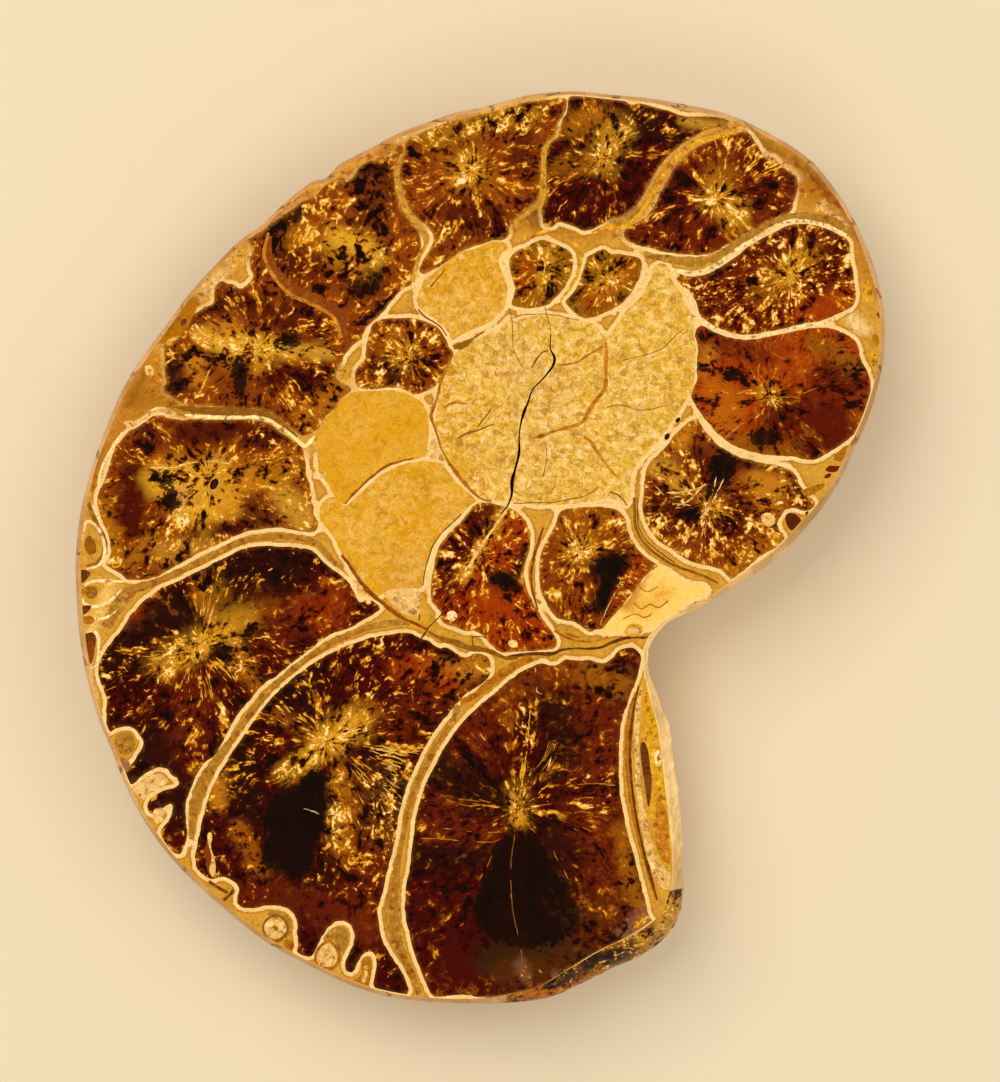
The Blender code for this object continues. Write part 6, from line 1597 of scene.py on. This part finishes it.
def crystal():
    """Calcite crystals that fan out from the middle of each chamber."""
    n = Nodes("crystal")
    at = n.millimetres()
    tone = n.attribute("tone", "Color")
    fleck = n.attribute("fleck")
    star = n.attribute("star", "Vector")
    flat = n.vector("MULTIPLY", star, (1.0, 1.0, 0.0))
    away = n.vector("LENGTH", flat)
    heading = n.scaled(flat, n.math("DIVIDE", 1.0, n.math("ADD", away, 0.6)))
    heading = n.vector("ADD", heading, n.scaled(n.noise(at, 0.3, 2.0, output="Color"), 0.35))
    chamber = n.vector("MULTIPLY", star, (0.0, 0.0, 3.7))

    def fan(spread, along, detail, rough):
        """Noise stretched along the crystals."""
        depth = n.upright("Z", n.times(away, along))
        where = n.vector("ADD", n.scaled(heading, spread), depth)
        return n.noise(n.vector("ADD", where, chamber), 1.0, detail, rough)

    broad = n.around_zero(fan(4.0, 0.14, 3.0, 0.6))
    needle = n.around_zero(n.mix(n.range(away, 3.5, 7.5), fan(9.0, 0.8, 2.0, 0.5),
                                 fan(22.0, 0.5, 2.0, 0.5), "FLOAT"))
    warp = n.warped(at, 0.8, 1.2)
    mottle = n.around_zero(n.noise(warp, 0.75, 3.0, 0.6))
    facet, glint = n.cells(warp, 1.1), n.cells(warp, 3.0)
    coarse = n.range(fleck, 0.36, 0.6, 0.2, 1.0)

    # the body: maroon in the shade, the painted tone, amber in the light
    swing = n.range(fleck, 0.0, 0.2, 0.3, 1.0)
    level = n.total((broad, 1.5), (mottle, 1.6), (needle, 1.0), (n.times(facet, coarse), 0.55))
    level = n.math("MULTIPLY_ADD", level, swing, 0.5)
    rich = n.mix(0.4, n.vector("MULTIPLY", tone, tone), shade("M"))
    deep = n.mix(n.range(level, 0.05, 0.3), shade("K"), rich)
    body = n.mix(n.range(level, 0.2, 0.46), deep, tone)
    body = n.over(body, "N", n.range(level, 0.58, 0.95), n.range(fleck, 0.1, 0.4, 0.3, 0.8))
    body = n.grained(body, n.noise(at, 5.0, 3.0, 0.7), 0.3, 0.7, 0.8, 1.2)

    # black hollows with ragged edges
    ragged = n.total((needle, 3.2), (mottle, 2.2), (glint, 0.6), (n.attribute("hollow"), 1.0))
    hollow = n.range(ragged, -0.12, 0.12)
    body = n.over(body, "K", hollow, n.range(broad, -0.1, 0.16, 0.97, 0.88))

    # flakes and needles: black gaps, amber, gold, and cream at their brightest
    spiky = n.times(needle, n.math("MULTIPLY_ADD", coarse, -0.45, 1.0))
    blocky = n.times(n.total((facet, 0.3), (glint, 0.42)), coarse)
    flake = n.total((spiky, 1.0), (blocky, 0.62), (mottle, 0.55), (broad, 0.55),
                    (hollow, -0.16))
    flake = n.math("ADD", flake, n.math("MULTIPLY_ADD", fleck, 0.4, -0.31))
    body = n.over(body, "K", n.below(flake, -0.33, -0.26), n.range(fleck, 0.1, 0.35), 0.82)
    body = n.over(body, "N", n.range(flake, -0.06, 0.0), 0.5)
    body = n.over(body, "G", n.range(flake, -0.012, 0.015), 0.9)
    flake = n.math("MULTIPLY_ADD", fleck, 0.12, flake)
    body = n.over(body, "T", n.range(flake, 0.108, 0.13), 0.9)
    body = n.over(body, "W", n.range(flake, 0.15, 0.18), 0.95)

    # a golden lining where the crystals grew from the walls
    ragged = n.math("MULTIPLY_ADD", n.noise(at, 2.0, 3.0), -0.9, n.attribute("border"))
    gold = n.mix(n.noise(at, 1.1, 2.0), shade("B"), shade("Q"))
    body = n.over(body, gold, n.below(ragged, -0.4, 0.0), n.attribute("lining"))
    return n.finish(body, n.range(mottle, -0.2, 0.2, 0.1, 0.2), specular=0.04)


def mud():
    """Ochre mud that set inside the first chambers, in pale and rusty clouds."""
    n = Nodes("mud")
    at = n.millimetres()
    tone = n.attribute("tone", "Color")
    contrast = n.attribute("fleck")
    warp = n.warped(at, 0.7, 2.0)
    cloud = n.range(n.noise(warp, 0.22, 4.0, 0.65), 0.38, 0.62)
    mottle = n.noise(warp, 0.9, 4.0, 0.7)
    grain = n.noise(at, 4.5, 3.0, 0.75)
    rind = n.math("ABSOLUTE", n.around_zero(n.noise(warp, 0.55, 3.0, 0.6)))
    patch = n.noise(warp, 1.05, 5.0, 0.8)
    rusty = n.vector("MULTIPLY", tone, (0.78, 0.68, 0.15))
    body = n.over(tone, "I", cloud, contrast, 0.5)
    body = n.over(body, rusty, n.range(patch, 0.5, 0.62), contrast, 0.9)
    body = n.over(body, "W", n.below(patch, 0.39, 0.5), n.range(contrast, 0.45, 1.0), 0.75)
    body = n.over(body, "V", n.range(mottle, 0.52, 0.64), contrast, 0.5)
    body = n.over(body, "A", n.below(rind, 0.006, 0.05), n.range(mottle, 0.42, 0.54),
                  contrast, 0.6)
    body = n.over(body, "Z", n.range(grain, 0.6, 0.68), 0.4, contrast)
    body = n.grained(body, grain, 0.3, 0.7, 0.76, 1.12)
    n.bump(grain, 0.12, 0.05)
    return n.finish(body, n.range(mottle, 0.3, 0.7, 0.2, 0.3), specular=0.08)


def wall():
    """Shell walls: a cream line along every chamber, golden and tan shell between."""
    n = Nodes("wall")
    at = n.millimetres()
    tone = n.attribute("tone", "Color")
    border = n.attribute("border")
    plain = n.attribute("lining")
    cloud = n.noise(at, 0.5, 4.0, 0.65)
    mottle = n.noise(at, 1.9, 5.0, 0.75)
    pale = n.vector("ADD", n.scaled(tone, 1.3), (0.03, 0.02, 0.008))
    body = n.over(tone, "A", n.range(cloud, 0.46, 0.62), 0.3)
    body = n.over(body, "L", n.range(mottle, 0.52, 0.66), 0.5)
    body = n.over(body, pale, n.below(mottle, 0.34, 0.47), 0.6)

    # the cream line and its thin brown edge
    ragged = n.math("MULTIPLY_ADD", n.around_zero(mottle), 0.5, border)
    cream = n.mix(n.range(cloud, 0.3, 0.7, 0.6, 0.9), tone, shade("W"))
    body = n.over(body, cream, n.below(ragged, 0.36, 0.58), plain, 0.9)
    body = n.over(body, "A", n.range(ragged, 0.46, 0.56), n.below(ragged, 0.62, 0.76),
                  plain, 0.6)

    # crust along the rim: brown hollows and cream flakes
    crust = n.times(n.below(plain, 0.25, 0.85), 0.75)
    scab = n.noise(n.warped(at, 1.3, 1.2), 1.2, 4.0, 0.7)
    paler = n.vector("ADD", n.scaled(tone, 1.5), (0.07, 0.045, 0.012))
    body = n.over(body, "B", n.range(scab, 0.54, 0.62), crust)
    body = n.over(body, paler, n.below(scab, 0.37, 0.43), crust)
    body = n.grained(body, n.noise(at, 4.0, 3.0, 0.7), 0.3, 0.7, 0.84, 1.12)
    n.bump(n.noise(at, 3.0, 3.0), 0.1, 0.05)
    return n.finish(body, 0.2, specular=0.08)


def outside():
    """Old shell: tan and cream mother-of-pearl with growth lines and frilled sutures."""
    n = Nodes("outside")
    at = n.millimetres()
    tone = n.attribute("tone", "Color")
    cloud = n.noise(at, 0.12, 4.0, 0.6)
    mottle = n.noise(at, 0.9, 5.0, 0.7)
    body = n.mix(n.range(cloud, 0.4, 0.62), n.scaled(tone, 1.25),
                 n.vector("MULTIPLY", tone, (0.9, 0.82, 0.68)))
    body = n.over(body, n.vector("MULTIPLY", tone, (0.6, 0.45, 0.32)),
                  n.range(mottle, 0.5, 0.72), 0.5)

    # frilled sutures
    frill = n.noise(n.upright("X", n.times(n.attribute("reach"), 0.55)), 1.0, 5.0, 0.75)
    ruffle = n.times(n.noise(at, 0.8, 3.0, 0.6), 3.0)
    shift = n.math("ADD", n.attribute("suture"), n.math("MULTIPLY_ADD", frill, 11.0, ruffle))
    seam = n.below(n.math("ABSOLUTE", n.math("SUBTRACT", shift, 7.0)), 0.12, 0.45)
    body = n.over(body, "D", seam, 0.75)
    body = n.grained(body, n.noise(at, 4.0, 4.0, 0.7), 0.3, 0.7, 0.8, 1.12)
    n.bump(n.math("ADD", n.noise(at, 1.6, 5.0, 0.7), seam), 0.35, 0.12)
    return n.finish(body, n.range(mottle, 0.3, 0.7, 0.34, 0.5), coat=0.06,
                    coat_roughness=0.2, specular=0.2)


def ground():
    """Warm pale board."""
    n = Nodes("ground")
    tint = n.mix(n.noise(n.millimetres(), 0.02, 2.0), (0.75, 0.63, 0.44, 1.0),
                 (0.775, 0.655, 0.465, 1.0))
    return n.finish(tint, 0.75, specular=0.05)


# --------------------------------------------------------------------------------------
# Floor, lights and camera.

FLOOR_SIZE = 3.0                            # metres
WORLD_COLOUR, WORLD_STRENGTH = (1.0, 0.95, 0.84, 1.0), 0.58
LAMP_COLOUR = (1.0, 0.98, 0.97)
LAMPS = (                                   # name, place in metres, size, watts
    ("key", (-0.4, 0.46, 1.0), 0.8, 6.8),
    ("fill", (0.5, 0.1, 1.0), 0.6, 2.1),
    ("front", (-0.1, -0.6, 0.95), 0.5, 1.7),
)
SENSOR = 36.0
CAMERA_X, CAMERA_Y = 2.4, 0.78              # the spot that the camera stands over
CAMERA_HEIGHT = 450.0                       # above the cut face
VIEW_HEIGHT = 129.84                        # how much of the cut face's plane is in view


def floor():
    """The pale floor that the fossil lies on."""
    bpy.ops.mesh.primitive_plane_add(size=FLOOR_SIZE, location=(0.0, 0.0, 0.0))
    plane = bpy.context.active_object
    plane.name = "floor"
    plane.data.materials.append(ground())


def lamp(name, place, size, power):
    """A soft square light that points at the origin."""
    data = bpy.data.lights.new(name, "AREA")
    data.shape, data.size, data.energy, data.color = "SQUARE", size, power, LAMP_COLOUR
    made = bpy.data.objects.new(name, data)
    made.location = place
    made.rotation_euler = (-Vector(place)).to_track_quat("-Z", "Y").to_euler()
    bpy.context.scene.collection.objects.link(made)


def studio():
    """Warm soft light from the upper left and a pale surround."""
    world = bpy.data.worlds.new("studio")
    world.use_nodes = True
    back = world.node_tree.nodes["Background"]
    back.inputs["Color"].default_value = WORLD_COLOUR
    back.inputs["Strength"].default_value = WORLD_STRENGTH
    bpy.context.scene.world = world
    for settings in LAMPS:
        lamp(*settings)


def camera():
    """Straight down on the cut face."""
    data = bpy.data.cameras.new("camera")
    data.sensor_width = SENSOR
    data.lens = SENSOR * CAMERA_HEIGHT / VIEW_HEIGHT
    made = bpy.data.objects.new("camera", data)
    made.location = Vector((CAMERA_X, CAMERA_Y, FACE_Z + CAMERA_HEIGHT)) * MM
    bpy.context.scene.collection.objects.link(made)
    bpy.context.scene.camera = made


bpy.context.scene.view_settings.view_transform = "Standard"
camera()
studio()
floor()

fossil = bpy.data.objects.new("ammonite", fossil_mesh())
for make in (crystal, mud, wall, outside):
    fossil.data.materials.append(make())
bpy.context.scene.collection.objects.link(fossil)
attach(fossil, "root")
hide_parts(NODE)
